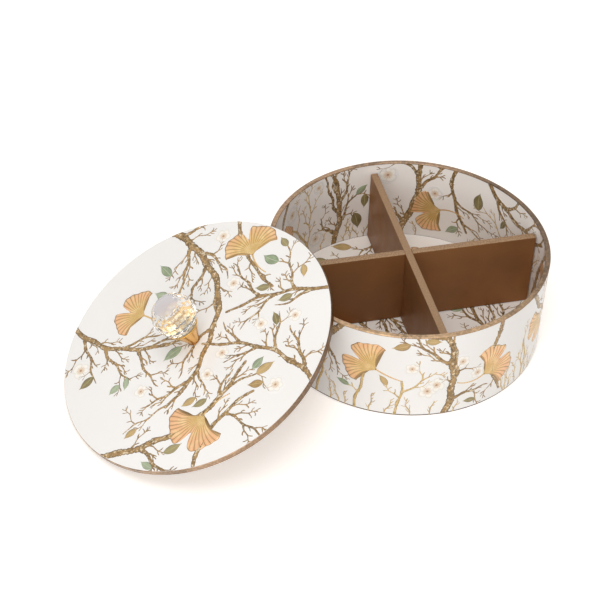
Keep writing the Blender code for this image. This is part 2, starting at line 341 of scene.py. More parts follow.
class Palette:
    """The node tree of a world, or of a new material by name, with short calls for its nodes."""

    def __init__(self, owner):
        self.owner = bpy.data.materials.new(owner) if isinstance(owner, str) else owner
        self.owner.use_nodes = True
        self.tree = self.owner.node_tree
        self.shader = self.tree.nodes.get("Principled BSDF")

    def coordinates(self, source):
        """An output of the tree's one coordinate node."""
        found = [node for node in self.tree.nodes if node.type == "TEX_COORD"]
        return (found[0] if found else self.add("ShaderNodeTexCoord")).outputs[source]

    def add(self, kind, **settings):
        """A node with its settings."""
        node = self.tree.nodes.new(kind)
        for key, value in settings.items():
            setattr(node, key, value)
        return node

    def put(self, target, value):
        """Join an output to an input, or set the input's own value."""
        if isinstance(value, bpy.types.NodeSocket):
            self.tree.links.new(value, target)
        elif hasattr(value, "__len__") and len(value) == 3 and target.type == "RGBA":
            target.default_value = (*value, 1.0)
        else:
            target.default_value = value

    def tone(self):
        """The piece's own tone attribute."""
        return self.add("ShaderNodeAttribute", attribute_name="tone").outputs["Fac"]

    def axes(self, source):
        """The X, Y and Z of the object's place, or of the piece's own UV map."""
        node = self.add("ShaderNodeSeparateXYZ")
        self.put(node.inputs[0], self.coordinates(source))
        return node.outputs

    def math(self, operation, first, second=0.0):
        """One sum on numbers."""
        node = self.add("ShaderNodeMath", operation=operation)
        self.put(node.inputs[0], first)
        self.put(node.inputs[1], second)
        return node.outputs[0]

    def times(self, first, second):
        """The product of two numbers."""
        return self.math("MULTIPLY", first, second)

    def plus(self, first, second):
        """The sum of two numbers."""
        return self.math("ADD", first, second)

    def mix(self, share, first, second, blend="MIX"):
        """Two colours mixed by a share."""
        node = self.add("ShaderNodeMix", data_type="RGBA", blend_type=blend)
        self.put(node.inputs[0], share)
        self.put(node.inputs[6], first)
        self.put(node.inputs[7], second)
        return node.outputs[2]

    def noise(self, scale, detail=3.0, roughness=0.5, stretch=None):
        """Noise on the object's own coordinates, which may be stretched."""
        node = self.add("ShaderNodeTexNoise")
        self.put(node.inputs["Scale"], scale)
        self.put(node.inputs["Detail"], detail)
        self.put(node.inputs["Roughness"], roughness)
        source = self.coordinates("Object")
        if stretch is not None:
            mapping = self.add("ShaderNodeMapping")
            self.put(mapping.inputs["Vector"], source)
            mapping.inputs["Scale"].default_value = stretch
            source = mapping.outputs[0]
        self.put(node.inputs["Vector"], source)
        return node.outputs["Fac"]

    def ramp(self, value, low, high, first=0.0, last=1.0):
        """A number brought from one range to another, smoothly and clamped."""
        node = self.add("ShaderNodeMapRange", interpolation_type="SMOOTHSTEP")
        for socket, number in zip(node.inputs, (value, low, high, first, last)):
            self.put(socket, number)
        return node.outputs[0]

    def finish(self, colour, roughness, bump=None, bump_depth=0.0, bump_strength=1.0, more=None):
        """Set the shader: colour, roughness, an optional bump and more sockets by name."""
        self.put(self.shader.inputs["Base Color"], colour)
        self.put(self.shader.inputs["Roughness"], roughness)
        for name, value in (more or {}).items():
            self.put(self.shader.inputs[name], value)
        if bump is not None:
            node = self.add("ShaderNodeBump")
            node.inputs["Strength"].default_value = bump_strength
            node.inputs["Distance"].default_value = bump_depth
            self.put(node.inputs["Height"], bump)
            self.put(self.shader.inputs["Normal"], node.outputs[0])
        return self.owner

    def seen(self):
        """1 for rays of the camera, of gloss and through glass, and 0 for the rest."""
        ray = self.add("ShaderNodeLightPath").outputs
        either = self.math("MAXIMUM", ray["Is Camera Ray"], ray["Is Glossy Ray"])
        return self.math("MAXIMUM", either, ray["Is Transmission Ray"])


def colours():
    """The colour settings."""
    return bpy.context.scene.roti_colours


def sizes():
    """The size settings."""
    return bpy.context.scene.roti_sizes


# The clear laminate over printed film
LAMINATE = {"Coat Weight": 0.25, "Coat Roughness": 0.18}


def scaled(colour, factors):
    """A colour times one factor or three, held under 1."""
    return tuple(np.minimum(1.0, np.multiply(tuple(colour), factors)))


def film_material(name, warm=0.0, pale=1.0):
    """Satin laminate over white print: faint mottling, orange peel and a soft gloss."""
    p = Palette(name)
    # warm and pale make the ground warmer and lighter: painted light, for the films inside the box
    ground = scaled(scaled(colours().film, pale), (1.0 + warm, 1.0, 1.0 - warm))
    deeper = scaled(ground, (0.975, 0.965, 0.955))
    height = p.plus(p.noise(1400.0, 2.0), p.times(p.noise(60.0, 2.0), 3.0))
    rough = p.ramp(p.noise(90.0, 4.0), 0.3, 0.7, 0.28, 0.36)
    body = p.mix(p.ramp(p.noise(14.0, 3.0), 0.3, 0.7), ground, deeper)
    return p.finish(body, rough, height, 0.00002, 0.35, more=LAMINATE)


def edge_paint_material(name, colour, rough=0.34, flake=0.45, shade_span=(0.02, 0.10),
                        deep=(0.44, 0.41, 0.37), front_highlight=None):
    """Metallic paint on board: streaks of light and dark, fine flakes and brush ripples.

    Painted shade darkens the colour by the factor deep from the first to the second given
    place on the X axis, the side turned from the light. A painted highlight brightens it by
    the last factor, when one is given, at the front of the Y axis. The tone attribute is 1
    at the wall's foot, where the colour is darkened as painted shade at the floor.
    """
    p = Palette(name)
    base = tuple(colour)
    light = tuple(min(1.0, c * 1.75 + 0.02) for c in base)
    dark = scaled(base, 0.50)
    broad = p.ramp(p.noise(45.0, 4.0), 0.38, 0.70)
    fine = p.ramp(p.noise(520.0, 3.0, 0.6), 0.45, 0.62)
    body = p.mix(broad, base, dark)
    body = p.mix(p.times(fine, flake), body, light)
    place = p.axes("Object")
    # Painted shade: darker towards +X, on the side turned from the light
    body = p.mix(p.ramp(place["X"], *shade_span), body, deep, "MULTIPLY")
    # Painted highlight: brighter at the front, towards -Y
    if front_highlight is not None:
        body = p.mix(p.ramp(place["Y"], -0.095, -0.020, 1.0, 0.0), body, front_highlight, "MULTIPLY")
    # Painted shade: dark where the tone attribute marks the wall's foot at the floor
    body = p.mix(p.tone(), body, scaled(base, 0.22))
    ripple = p.plus(p.noise(700.0, 3.0), p.times(p.noise(160.0, 2.0), 2.0))
    return p.finish(body, p.ramp(p.noise(220.0, 3.0), 0.3, 0.7, rough - 0.05, rough + 0.10),
                    ripple, 0.00004, 0.5,
                    more={"Metallic": 0.40, "Coat Weight": 0.25, "Coat Roughness": 0.22})


def divider_material(name, rough_edge):
    """Divider board: satin brown paint on its faces, speckled tan paint on its top edge.

    The tone attribute is 1 on the top edge and 0 elsewhere, and rough_edge is how
    speckled that edge is.
    """
    p = Palette(name)
    tone = p.tone()
    base = tuple(colours().divider_paint)
    warm = scaled(base, (1.26, 1.22, 1.10))
    cloud = p.ramp(p.noise(16.0, 3.0), 0.35, 0.68)
    worn = p.ramp(p.noise(55.0, 3.0), 0.45, 0.72, 0.0, 0.12)
    face = p.mix(worn, p.mix(cloud, base, warm), scaled(base, 0.80))
    edge = tuple(colours().divider_edge)
    speck = p.ramp(p.noise(850.0, 4.0, 0.7), 0.40, 0.60)
    cut = p.mix(speck, scaled(edge, 1.0 - 0.50 * rough_edge),
                scaled(edge, 1.0 + 0.45 * rough_edge))
    colour = p.mix(tone, face, cut)
    height = p.plus(p.times(p.times(p.noise(900.0, 3.0), tone), 4.0), p.noise(240.0, 2.0))
    rough = p.plus(p.ramp(p.noise(70.0, 3.0), 0.3, 0.7, 0.38, 0.46), p.times(tone, 0.12))
    return p.finish(colour, rough, height, 0.00001, 0.35,
                    more={"Metallic": 0.40, "Specular IOR Level": 0.30})


def bark_material(name, fleck, gilt, margin):
    """Printed limb: mottled brown gold, cream and gold flecks, edges in darker ink.

    gilt is 1 for ink that is all gold, and margin is how dark its edges are. The tone
    attribute darkens a stem, and its tip most.
    """
    p = Palette(name)
    brown = np.array(colours().bark)
    bright = np.array((0.52, 0.36, 0.14))
    base = tuple(brown * (1.0 - gilt) + bright * gilt)
    gold = scaled(base, 1.65 - 0.3 * gilt)
    cream = (0.86, 0.74, 0.54)
    dark = scaled(base, 0.34 + 0.24 * gilt)
    across = p.math("ABSOLUTE", p.math("SUBTRACT", p.axes("UV")["Y"], 0.5))
    rim = p.ramp(across, 0.20, 0.44)
    centre = p.math("SUBTRACT", 1.0, rim)
    body = p.mix(p.ramp(p.noise(260.0, 3.0, 0.6), 0.40, 0.58), base, gold)
    body = p.mix(p.times(p.tone(), 0.55), body, dark)
    spots = p.ramp(p.noise(470.0, 2.0, 0.6), 0.55, 0.62)
    body = p.mix(p.times(p.times(spots, centre), fleck), body, cream)
    pits = p.ramp(p.noise(560.0, 2.0, 0.6), 0.57, 0.64)
    body = p.mix(p.times(pits, fleck), body, dark)
    body = p.mix(p.times(rim, margin), body, dark)
    return p.finish(body, 0.34, p.noise(1400.0, 3.0), 0.00003, 0.6, more={"Metallic": 0.22})


def leaf_material(name, colour, pale):
    """Printed leaf: midrib and side veins in paler ink, a darker margin and a soft mottle."""
    p = Palette(name)
    base = tuple(colour)
    light, dark = scaled(base, 1.5), scaled(base, 0.5)
    place = p.axes("UV")
    across = p.math("ABSOLUTE", p.math("SUBTRACT", place["Y"], 0.5))
    rib = p.ramp(across, 0.015, 0.045, 1.0, 0.0)
    slanted = p.math("SUBTRACT", p.times(place["X"], 8.0), p.times(across, 5.0))
    vein = p.ramp(p.math("PINGPONG", slanted, 0.5), 0.0, 0.09, 0.55, 0.0)
    blade = p.mix(p.ramp(p.noise(240.0, 3.0), 0.35, 0.66), base, light)
    blade = p.mix(p.times(p.tone(), 0.55), blade, pale)
    blade = p.mix(p.ramp(across, 0.40, 0.50, 0.0, 0.65), blade, dark)
    blade = p.mix(p.math("MAXIMUM", rib, vein), blade, pale)
    return p.finish(blade, 0.36, p.noise(1200.0, 2.0), 0.00002, 0.4, more={"Metallic": 0.12})


def fan_material(name):
    """Printed fan leaf in gold foil: fine ribs from the stalk, a peach margin, an inked outline.

    U runs from side to side of the fan, and V from its stalk to its margin.
    """
    p = Palette(name)
    gold = tuple(colours().gold)
    peach = (0.80, 0.44, 0.24)
    deep = scaled(gold, (0.46, 0.42, 0.42))
    pale = (0.93, 0.72, 0.38)
    place = p.axes("UV")
    u, v = place["X"], place["Y"]
    wander = p.times(p.noise(60.0, 2.0), 0.8)
    ribs = p.math("PINGPONG", p.plus(p.times(u, 17.0), wander), 0.5)
    outward = p.plus(v, p.times(p.tone(), 0.45))
    body = p.mix(p.ramp(outward, 0.45, 1.10, 0.0, 0.95), gold, peach)
    body = p.mix(p.ramp(p.noise(150.0, 4.0, 0.6), 0.42, 0.70, 0.0, 0.50), body, pale)
    body = p.mix(p.ramp(ribs, 0.40, 0.50, 0.0, 0.55), body, pale)
    body = p.mix(p.ramp(ribs, 0.02, 0.16, 0.85, 0.0), body, deep)
    edge = p.math("ABSOLUTE", p.math("SUBTRACT", u, 0.5))
    rim = p.math("MAXIMUM", p.ramp(v, 0.93, 0.975), p.ramp(edge, 0.470, 0.490))
    body = p.mix(p.times(rim, 0.85), body, deep)
    return p.finish(body, 0.32, ribs, 0.00003, 0.5, more={"Metallic": 0.30})


def blossom_material(name):
    """Printed blossom on a round patch: pale petals, a warm eye, and the film's own ground.

    A petal's edge lies at a share of the patch that swells and dips five times a turn.
    """
    p = Palette(name)
    ground = tuple(colours().film)
    place = p.axes("UV")
    x, y = (p.math("SUBTRACT", place[axis], 0.5) for axis in "XY")
    radius = p.times(p.math("SQRT", p.plus(p.times(x, x), p.times(y, y))), 2.0)
    angle = p.plus(p.math("ARCTAN2", y, x), p.times(p.noise(30.0, 1.0), 5.0))
    swell = p.math("ABSOLUTE", p.math("COSINE", p.times(angle, 2.5)))
    edge = p.plus(0.40, p.times(p.math("POWER", swell, 0.5), 0.38))
    gone = p.math("SUBTRACT", radius, edge)
    inside = p.ramp(gone, -0.10, 0.05, 1.0, 0.0)
    halo = p.ramp(radius, 0.40, 0.97, 0.20, 0.0)
    outline = p.ramp(p.math("ABSOLUTE", gone), 0.0, 0.12, 0.20, 0.0)
    petal = p.mix(p.ramp(radius, 0.10, 0.55), (0.74, 0.58, 0.42), (0.88, 0.85, 0.79))
    body = p.mix(halo, ground, (0.70, 0.61, 0.48))
    body = p.mix(inside, body, petal)
    body = p.mix(outline, body, (0.50, 0.38, 0.25))
    rays = p.math("PINGPONG", p.times(angle, 11.0 / TAU), 0.5)
    stamen = p.times(p.ramp(rays, 0.0, 0.14, 0.65, 0.0), p.ramp(radius, 0.36, 0.42, 1.0, 0.0))
    body = p.mix(stamen, body, (0.40, 0.22, 0.11))
    body = p.mix(p.ramp(radius, 0.05, 0.16, 0.80, 0.0), body, (0.34, 0.16, 0.08))
    return p.finish(body, 0.32, p.noise(1400.0, 2.0), 0.00002, 0.35, more=LAMINATE)


def gold_plate_material(name):
    """Polished gold plate: turning marks, a few dull patches, and painted glints in the hollow.

    The tone attribute is 1 in the hollow under the crystal, whose painted glints are cells of
    pale and deep gold for the reflections seen through the crystal, and falls below 0
    towards the foot, where the colour darkens as painted shade.
    """
    p = Palette(name)
    base = tuple(colours().knob_gold)
    deep = scaled(base, (0.80, 0.66, 0.50))
    tone = p.tone()
    body = p.mix(p.ramp(p.noise(120.0, 3.0), 0.45, 0.70, 0.0, 0.35), base, deep)
    # Painted glints: pale and deep gold cells in the hollow, for the reflections seen through the
    # crystal
    cells = p.add("ShaderNodeTexVoronoi")
    p.put(cells.inputs["Scale"], 420.0)
    p.put(cells.inputs["Vector"], p.coordinates("Object"))
    shares = p.add("ShaderNodeSeparateColor")
    p.put(shares.inputs[0], cells.outputs["Color"])
    painted_glints = p.mix(p.ramp(shares.outputs[0], 0.30, 0.75), (0.60, 0.35, 0.07), (0.88, 0.75, 0.46))
    body = p.mix(p.ramp(tone, 0.0, 1.0), body, painted_glints)
    # Painted shade: darker down the side and at the foot, where the bell meets the lid
    body = p.mix(p.ramp(tone, -1.0, 0.0, 0.9, 0.0), body, (0.24, 0.11, 0.03))
    rough = p.plus(p.ramp(p.noise(300.0, 3.0), 0.3, 0.7, 0.13, 0.24),
                   p.ramp(tone, 0.0, 1.0, 0.0, 0.16))
    rings = p.noise(900.0, 2.0, stretch=(0.15, 0.15, 1.0))
    return p.finish(body, rough, rings, 0.00001, 0.4, more={"Metallic": 1.0})


def crystal_material(name, tint, clear, bend):
    """Lead crystal with a very faint cloud: clear is how much light goes through it."""
    p = Palette(name)
    cloud = p.ramp(p.noise(120.0, 2.0), 0.3, 0.8)
    colour = p.mix(cloud, tint, scaled(tint, 0.98))
    rough = p.ramp(p.noise(400.0, 2.0), 0.4, 0.8, 0.0, 0.02)
    return p.finish(colour, rough, more={"Transmission Weight": clear, "IOR": bend})


def zinc_material(name):
    """Bright zinc plate with a fine grain."""
    p = Palette(name)
    colour = p.mix(p.ramp(p.noise(500.0, 3.0), 0.3, 0.7), (0.62, 0.62, 0.60), (0.50, 0.51, 0.52))
    return p.finish(colour, p.ramp(p.noise(700.0, 3.0), 0.3, 0.7, 0.25, 0.40),
                    p.noise(1500.0, 2.0), 0.00002, 0.4, more={"Metallic": 1.0})


def board_material(name):
    """Bare fibre board: tan, felted and matte, with darker fibres."""
    p = Palette(name)
    fibre = p.ramp(p.noise(900.0, 4.0, 0.7), 0.42, 0.62)
    cloud = p.ramp(p.noise(40.0, 3.0), 0.35, 0.70)
    body = p.mix(cloud, (0.47, 0.33, 0.21), (0.40, 0.275, 0.17))
    body = p.mix(p.times(fibre, 0.5), body, (0.58, 0.43, 0.29))
    return p.finish(body, 0.82, p.noise(1300.0, 3.0), 0.00006, 0.7)


def coat(data, material):
    """Give a mesh one material."""
    data.materials.clear()
    data.materials.append(material)


def dress(made, material, body, slot, *nodes):
    """Give a piece its material and body, and hide the nodes that it stands for; slot is not used.
    """
    coat(made.data, material)
    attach(made, body)
    if nodes:
        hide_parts(*nodes)


# A printed surface. x and y are lengths across the flat print, and length is how far x
# runs. place puts (x, y, height over the film) in the row frame, clamp brings what runs
# off the film back to its edge, and inside says which points lie on the film, a margin
# from its edge.
Sheet = namedtuple("Sheet", "name body slot length place clamp inside")


def round_sheet(name, body, slot, place, radius, height):
    """A round printed film about an axis."""
    def clamp(points):
        out = np.linalg.norm(points, axis=-1, keepdims=True)
        return points * np.minimum(1.0, radius / np.maximum(out, radius / 2))

    def put(x, y, lift):
        return place(x, y, height + lift)

    def inside(points, margin):
        return np.linalg.norm(points, axis=-1) < radius - margin

    return Sheet(name, body, slot, 2 * radius, put, clamp, inside)


def wall_sheet(name, body, slot, radius, low, high, outward):
    """A printed film round a wall: x runs round it and y up it, from its foot."""
    length = TAU * radius

    def clamp(points):
        x = np.clip(points[..., 0], 0.0, length)
        y = np.clip(points[..., 1], 0.0, high - low)
        return np.stack([x, y], axis=-1)

    def put(x, y, lift):
        turned = math.pi / 2 + outward * x / radius
        out = radius + outward * lift
        return np.stack([out * np.cos(turned), out * np.sin(turned), low + y], axis=-1)

    def inside(points, margin):
        x, y = points[..., 0], points[..., 1]
        return (x > margin) & (x < length - margin) & (y > margin) & (y < high - low - margin)

    return Sheet(name, body, slot, length, put, clamp, inside)


# How the printed stems grow: the step between a line's points, then by level, from limbs
# at 0 to spurs at 3, the gap between nodes, the swing at a node, the points over which it
# softens, the room that a shoot needs, its length, its width as a share of its trunk's,
# and its least and greatest width
STEP = 0.0010
NODE_GAP = ((0.009, 0.016), (0.0070, 0.0115), (0.0042, 0.0072), (0.0022, 0.0036))
SWING = (0.22, 0.30, 0.32, 0.34)
SOFTEN = (9, 5, 3, 2)
ROOM = (None, 0.0040, 0.0023, 0.0012)
LENGTH = (None, (0.030, 0.075), (0.011, 0.028), (0.0028, 0.0064))
WIDTH_SHARE = (None, 0.66, 0.66, 0.80)
LEAST_WIDTH = (0.0022, 0.00150, 0.00105, 0.00085)
MOST_WIDTH = (None, 0.0032, 0.0017, 0.0017)
TRIES = 9
# A shoot's angle to its trunk, and how much and how far it swells where it leaves it
FORK = (math.radians(26), math.radians(66))
FLARE = 0.45
FLARE_REACH = 0.0018
# Limbs are gold from this tone up. Motifs mark the film under owners from these numbers
# down, and stems from 0 up
GILT = 2.0
FANS, LEAVES, BLOSSOMS, SPRIGS, NOBODY = -1, -1000, -2000, -3000, -9000
# How common each leaf's ink is, the swings of a group's leaves from their twig, the spread
# of a fan leaf, and the points round a blossom
LEAF_INKS = {"sage": 0.26, "olive": 0.38, "bronze": 0.36}
LEAF_SWINGS = (-0.95, 0.75, 0.1, -2.0)
FAN_SPREAD = math.radians(150)
PATCH_STEPS = 30
RIM_STEPS = 16


def kinked_line(start, heading, length, turn, level, rng):
    """A stem's centreline, and its nodes as pairs of place and outer side.

    The heading turns steadily and swings to the other side at each node, softened by a
    running mean. The points are the running sum of unit steps along it.
    """
    count = max(5, int(length / STEP) + 1)
    low, high = NODE_GAP[level]
    nodes = np.cumsum(rng.uniform(low, high, int(length / low) + 2)) / STEP
    nodes = nodes[nodes < count - 2].astype(int)
    stretch = np.searchsorted(nodes, np.arange(count), side="right")
    first = 1.0 if rng.random() < 0.5 else -1.0
    sides = first * (-1.0) ** np.arange(len(nodes) + 1)
    swing = (sides * SWING[level] * rng.uniform(0.35, 1.25, len(sides)))[stretch]
    width = SOFTEN[level]
    padded = np.pad(swing, (width, width), mode="edge")
    swing = np.convolve(padded, np.ones(width) / width, mode="same")[width:-width]
    turned = heading + turn * np.linspace(0.0, 1.0, count) + swing - swing[0]
    return trail(start, turned, STEP), np.stack([nodes, sides[:-1]], axis=1)


def stem_half(count, width, tip, nodes, rng, bud):
    """Half widths along a stem: a taper that swells like a bell curve at each node.

    A twig's last points swell by the bud and round off.
    """
    share = np.linspace(0.0, 1.0, count)
    half = (tip + (width - tip) * (1.0 - share) ** 0.75) / 2
    reach = (width / STEP * 0.5 + 1.0)
    apart = (np.arange(count)[:, None] - nodes[:, 0][None]) / reach
    half *= 1.0 + 0.22 * np.exp(-apart ** 2).sum(axis=1)
    half *= np.clip(1.0 + rng.normal(0.0, 0.10, count), 0.75, 1.3)
    half[-2:] *= (1.0 + bud, 0.55 + bud)
    return half


class Stem:
    """A printed stem: its centreline, half widths, nodes, level, tone and whether it is gold."""

    def __init__(self, line, half, nodes, level, tone, gilt=False):
        self.line = line
        self.half = half
        self.nodes = nodes[nodes[:, 0] < len(line) - 2] if len(nodes) else nodes
        self.level = level
        self.tone = tone
        self.gilt = gilt

    def heading(self, index):
        """Direction of the line at a point, in radians."""
        first = max(0, index - 2)
        last = min(len(self.line) - 1, index + 2)
        step = self.line[last] - self.line[first]
        return math.atan2(step[1], step[0])

    def forks(self, level):
        """Places and sides where shoots of a level leave: at its nodes, or between them."""
        if self.level == level - 1:
            return [(int(place), side) for place, side in self.nodes]
        places = self.nodes[:, 0]
        return [(int(place), -side) for place, side in zip((places[:-1] + places[1:]) / 2,
                                                            self.nodes[1:, 1])]


class Growth:
    """Grows the stems of one print, each where it finds room."""

    def __init__(self, sheet, seed):
        self.sheet = sheet
        self.rng = np.random.default_rng(seed)
        self.stems = []
        self.taken = np.empty((0, 2))
        self.owner = np.empty(0, dtype=int)

    def occupy(self, points, owner):
        """Mark points as taken by a stem, or by a motif with a negative owner."""
        self.taken = np.concatenate([self.taken, points])
        self.owner = np.concatenate([self.owner, np.full(len(points), owner)])

    def clearance(self, points, owner, reach):
        """Distance from the points to all that isn't the owner's, as far as the reach."""
        low, high = points.min(axis=0) - reach, points.max(axis=0) + reach
        near = (self.owner != owner) & ((self.taken > low) & (self.taken < high)).all(axis=1)
        if not near.any():
            return reach
        apart = points[:, None, :] - self.taken[near][None, :, :]
        return min(reach, math.sqrt((apart ** 2).sum(axis=2).min()))

    def cut_at_edge(self, line, half):
        """How many points of the line lie on the film, up to one step past its edge."""
        within = self.sheet.inside(line, -half.max() * 1.2)
        entered = np.flatnonzero(within)
        if not len(entered):
            return 0
        gone = np.flatnonzero(~within)
        gone = gone[gone > entered[0]]
        return gone[0] + 1 if len(gone) else len(line)

    def add_limb(self, start, heading, length, turn, width, tone):
        """A limb of the layout, which grows whatever is in its way."""
        line, nodes = kinked_line(start, heading, length, turn, 0, self.rng)
        half = stem_half(len(line), width, LEAST_WIDTH[0], nodes, self.rng, 0.0)
        last = self.cut_at_edge(line, half)
        self.stems.append(Stem(line[:last], half[:last], nodes, 0, tone % GILT, tone >= GILT))
        edge = line_normals(line[:last]) * half[:last, None]
        for points in (line[:last], line[:last] + edge, line[:last] - edge):
            self.occupy(points, len(self.stems) - 1)

    def shoot(self, index, parent, place, side, level):
        """The best of a few side shoots of a stem, or None where there is no room."""
        rng = self.rng
        low, high = LENGTH[level]
        best, best_room = None, ROOM[level]
        for _ in range(TRIES):
            angle = side * rng.uniform(*FORK)
            length = rng.uniform(low, high) * (1.0 - 0.30 * place / len(parent.line))
            line, nodes = kinked_line(parent.line[place], parent.heading(place) + angle, length,
                                      -side * rng.uniform(-0.45, 0.8), level, rng)
            trunk = parent.half[place]
            width = min(trunk * 2 * WIDTH_SHARE[level], MOST_WIDTH[level])
            width = max(LEAST_WIDTH[level], width)
            half = stem_half(len(line), width, LEAST_WIDTH[3], nodes, rng, 0.25 * (level > 1))
            away = np.arange(len(line)) * STEP - trunk * 1.2
            half *= 1.0 + FLARE * np.exp(-(away / FLARE_REACH) ** 2)
            last = self.cut_at_edge(line, half)
            skip = max(2, int(trunk * 1.3 / STEP))
            clear = line[skip:last]
            if last < max(4, 0.4 * len(line)) or len(clear) < 2:
                continue
            room = self.clearance(clear, index, ROOM[level] * 2.0)
            if room > best_room:
                best_room = room
                tone = float(np.clip(parent.tone + rng.normal(0.0, 0.18), 0.0, 1.0))
                best = Stem(line[:last], half[:last], nodes, level, tone, parent.gilt)
        return best

    def branch(self, level):
        """Side shoots of one level on the stems one or two levels before."""
        for index, parent in list(enumerate(self.stems)):
            if not level - 2 <= parent.level < level:
                continue
            forks = parent.forks(level)
            if level == 3 and parent.level == 2:
                side = 1.0 if self.rng.random() < 0.5 else -1.0
                forks += [(max(2, len(parent.line) - 4), side),
                          (max(2, len(parent.line) - 6), -side)]
            for place, side in forks:
                made = self.shoot(index, parent, place, side, level)
                if made is not None:
                    self.stems.append(made)
                    self.occupy(made.line, len(self.stems) - 1)


def rays(turned):
    """Unit vectors at the given angles: their cosine and their sine."""
    return np.stack([np.cos(turned), np.sin(turned)], axis=-1)


def trail(start, turned, step):
    """A line of equal steps whose heading at each point is given: their running sum."""
    return np.asarray(start) + np.concatenate(
        [[[0.0, 0.0]], np.cumsum(rays(turned)[:-1], axis=0) * step])


def line_normals(line):
    """Unit normals of a line, to its left."""
    ahead = np.gradient(line, axis=0)
    ahead /= np.linalg.norm(ahead, axis=1)[:, None]
    return np.stack([-ahead[:, 1], ahead[:, 0]], axis=1)


def section(count, power):
    """A strip's section as shares: places across it, and heights over the film.

    Its top is one less the place's power, dipping under the film at both edges, and its
    back runs home under the film.
    """
    top = np.linspace(-1.0, 1.0, count)
    under = top[-2:0:-1]
    crown = 1.35 * (1.0 - np.abs(top) ** power) - 0.35
    return np.concatenate([top, under]), np.concatenate([crown, np.full(len(under), -0.6)])


class Ink:
    """Collects strips and patches of one ink and makes them one piece on their sheet."""

    def __init__(self, sheet, name, crown, count, power):
        self.sheet = sheet
        self.name = name
        self.crown = crown
        self.across, self.height = section(count, power)
        self.points = []
        self.uv = []
        self.tone = []
        self.faces = []
        self.count = 0

    def keep(self, flat, height, uv, tone, faces):
        """Place points on the sheet and keep them with their faces, whose corners count on."""
        flat = self.sheet.clamp(flat)
        self.points.append(self.sheet.place(flat[:, 0], flat[:, 1], height))
        self.uv.append(uv)
        self.tone.append(np.broadcast_to(tone, len(flat)))
        for block in faces:
            self.faces += (block + self.count).tolist()
        self.count += len(flat)

    def loops(self, flat, tone, lift=0.0):
        """A closed skin over rows of the ink's section: flat holds each row's places."""
        rows, loop = flat.shape[:2]
        height = np.broadcast_to(self.height * self.crown + lift, (rows, loop))
        along = np.broadcast_to(np.linspace(0.0, 1.0, rows)[:, None], (rows, loop))
        side = np.broadcast_to(self.across * 0.5 + 0.5, (rows, loop))
        shade = np.broadcast_to(np.broadcast_to(tone, rows)[:, None], (rows, loop))
        index = np.arange(rows * loop).reshape(rows, loop)
        turned = np.roll(index, -1, axis=1)
        quads = np.stack([index[:-1], index[1:], turned[1:], turned[:-1]], axis=2).reshape(-1, 4)
        uv = np.stack([along, side], axis=2).reshape(-1, 2)
        self.keep(flat.reshape(-1, 2), height.ravel(), uv, shade.ravel(),
                  (quads, index[:1], index[-1:, ::-1]))

    def strip(self, line, half, tone, lift=0.0):
        """A strip along a line: its places lie across it, by share of the half width."""
        reach = half[:, None] * self.across[None]
        self.loops(line[:, None] + line_normals(line)[:, None] * reach[..., None], tone, lift)

    def patch(self, centre, radius, tone, lift=0.0):
        """A round patch: rings about a centre, whose last dips under the film and runs home."""
        steps = PATCH_STEPS
        out = np.array([0.25, 0.5, 0.75, 0.93, 1.0, 0.5])
        high = np.array([1.0, 1.0, 1.0, 0.8, -0.35, -0.6])
        ray = rays(np.linspace(0.0, TAU, steps, endpoint=False))
        share = np.concatenate([[[0.0, 0.0]], (out[:, None, None] * ray[None]).reshape(-1, 2),
                                [[0.0, 0.0]]])
        height = np.concatenate([[1.0], np.repeat(high, steps), [-0.6]]) * self.crown + lift
        index = 1 + np.arange(len(out) * steps).reshape(len(out), steps)
        beside = np.roll(index, -1, axis=1)
        quads = np.stack([index[:-1], index[1:], beside[1:], beside[:-1]], axis=2).reshape(-1, 4)
        first = np.zeros(steps, dtype=int)
        last = first + 1 + len(out) * steps
        self.keep(np.asarray(centre) + share * radius, height, share * 0.5 + 0.5, tone,
                  (quads, np.stack([first, index[0], beside[0]], axis=1),
                   np.stack([last, beside[-1], index[-1]], axis=1)))

    def piece(self, material):
        """The piece, riding with its sheet's body."""
        if not self.count:
            return
        made = build_mesh(self.name, np.concatenate(self.points), self.faces,
                          np.concatenate(self.uv), np.concatenate(self.tone))
        tidy_mesh(made)
        dress(made, material, self.sheet.body, self.sheet.slot)


def leaf_shape(base, heading, length, width, curl):
    """A leaf's midrib and half widths: widest a third of the way, drawn to a point.

    The midrib's heading turns by the curl, and the half width is a sine of the length's
    power, which puts the widest place before the middle.
    """
    share = np.linspace(0.0, 1.0, 17)
    line = trail(base, heading + curl * share, length / (len(share) - 1))
    half = width / 2 * np.sin(np.pi * share ** 0.80) ** (0.85 + 0.75 * share ** 3)
    half[0] = width * 0.05
    half[-1] = width * 0.015
    return line, half


def fan_shape(base, heading, length, across, rng):
    """A fan leaf as curved rays from its stalk, each a row of the ink's section.

    A ray's swing grows with the way along it, which hollows the leaf's sides. Its reach
    is one less a power of the swing, with a deep notch in the middle and a wavy margin.
    """
    swing = np.linspace(-1.0, 1.0, 73)
    notch = 1.0 - 0.42 * np.exp(-((swing - 0.04) / 0.085) ** 2)
    wave = 1.0 + 0.030 * np.sin(swing * 11.0 + rng.uniform(0, TAU))
    wave = wave + 0.012 * np.sin(swing * 31.0 + rng.uniform(0, TAU))
    reach = length * notch * wave * (1.0 - 0.22 * np.abs(swing) ** 3)
    way = across * 0.5 + 0.5
    out = 0.03 * length + (reach - 0.03 * length)[:, None] * way[None]
    turned = heading + swing[:, None] * FAN_SPREAD / 2 * (0.42 + 0.58 * way ** 0.8)[None]
    return np.asarray(base) + rays(turned) * out[..., None]


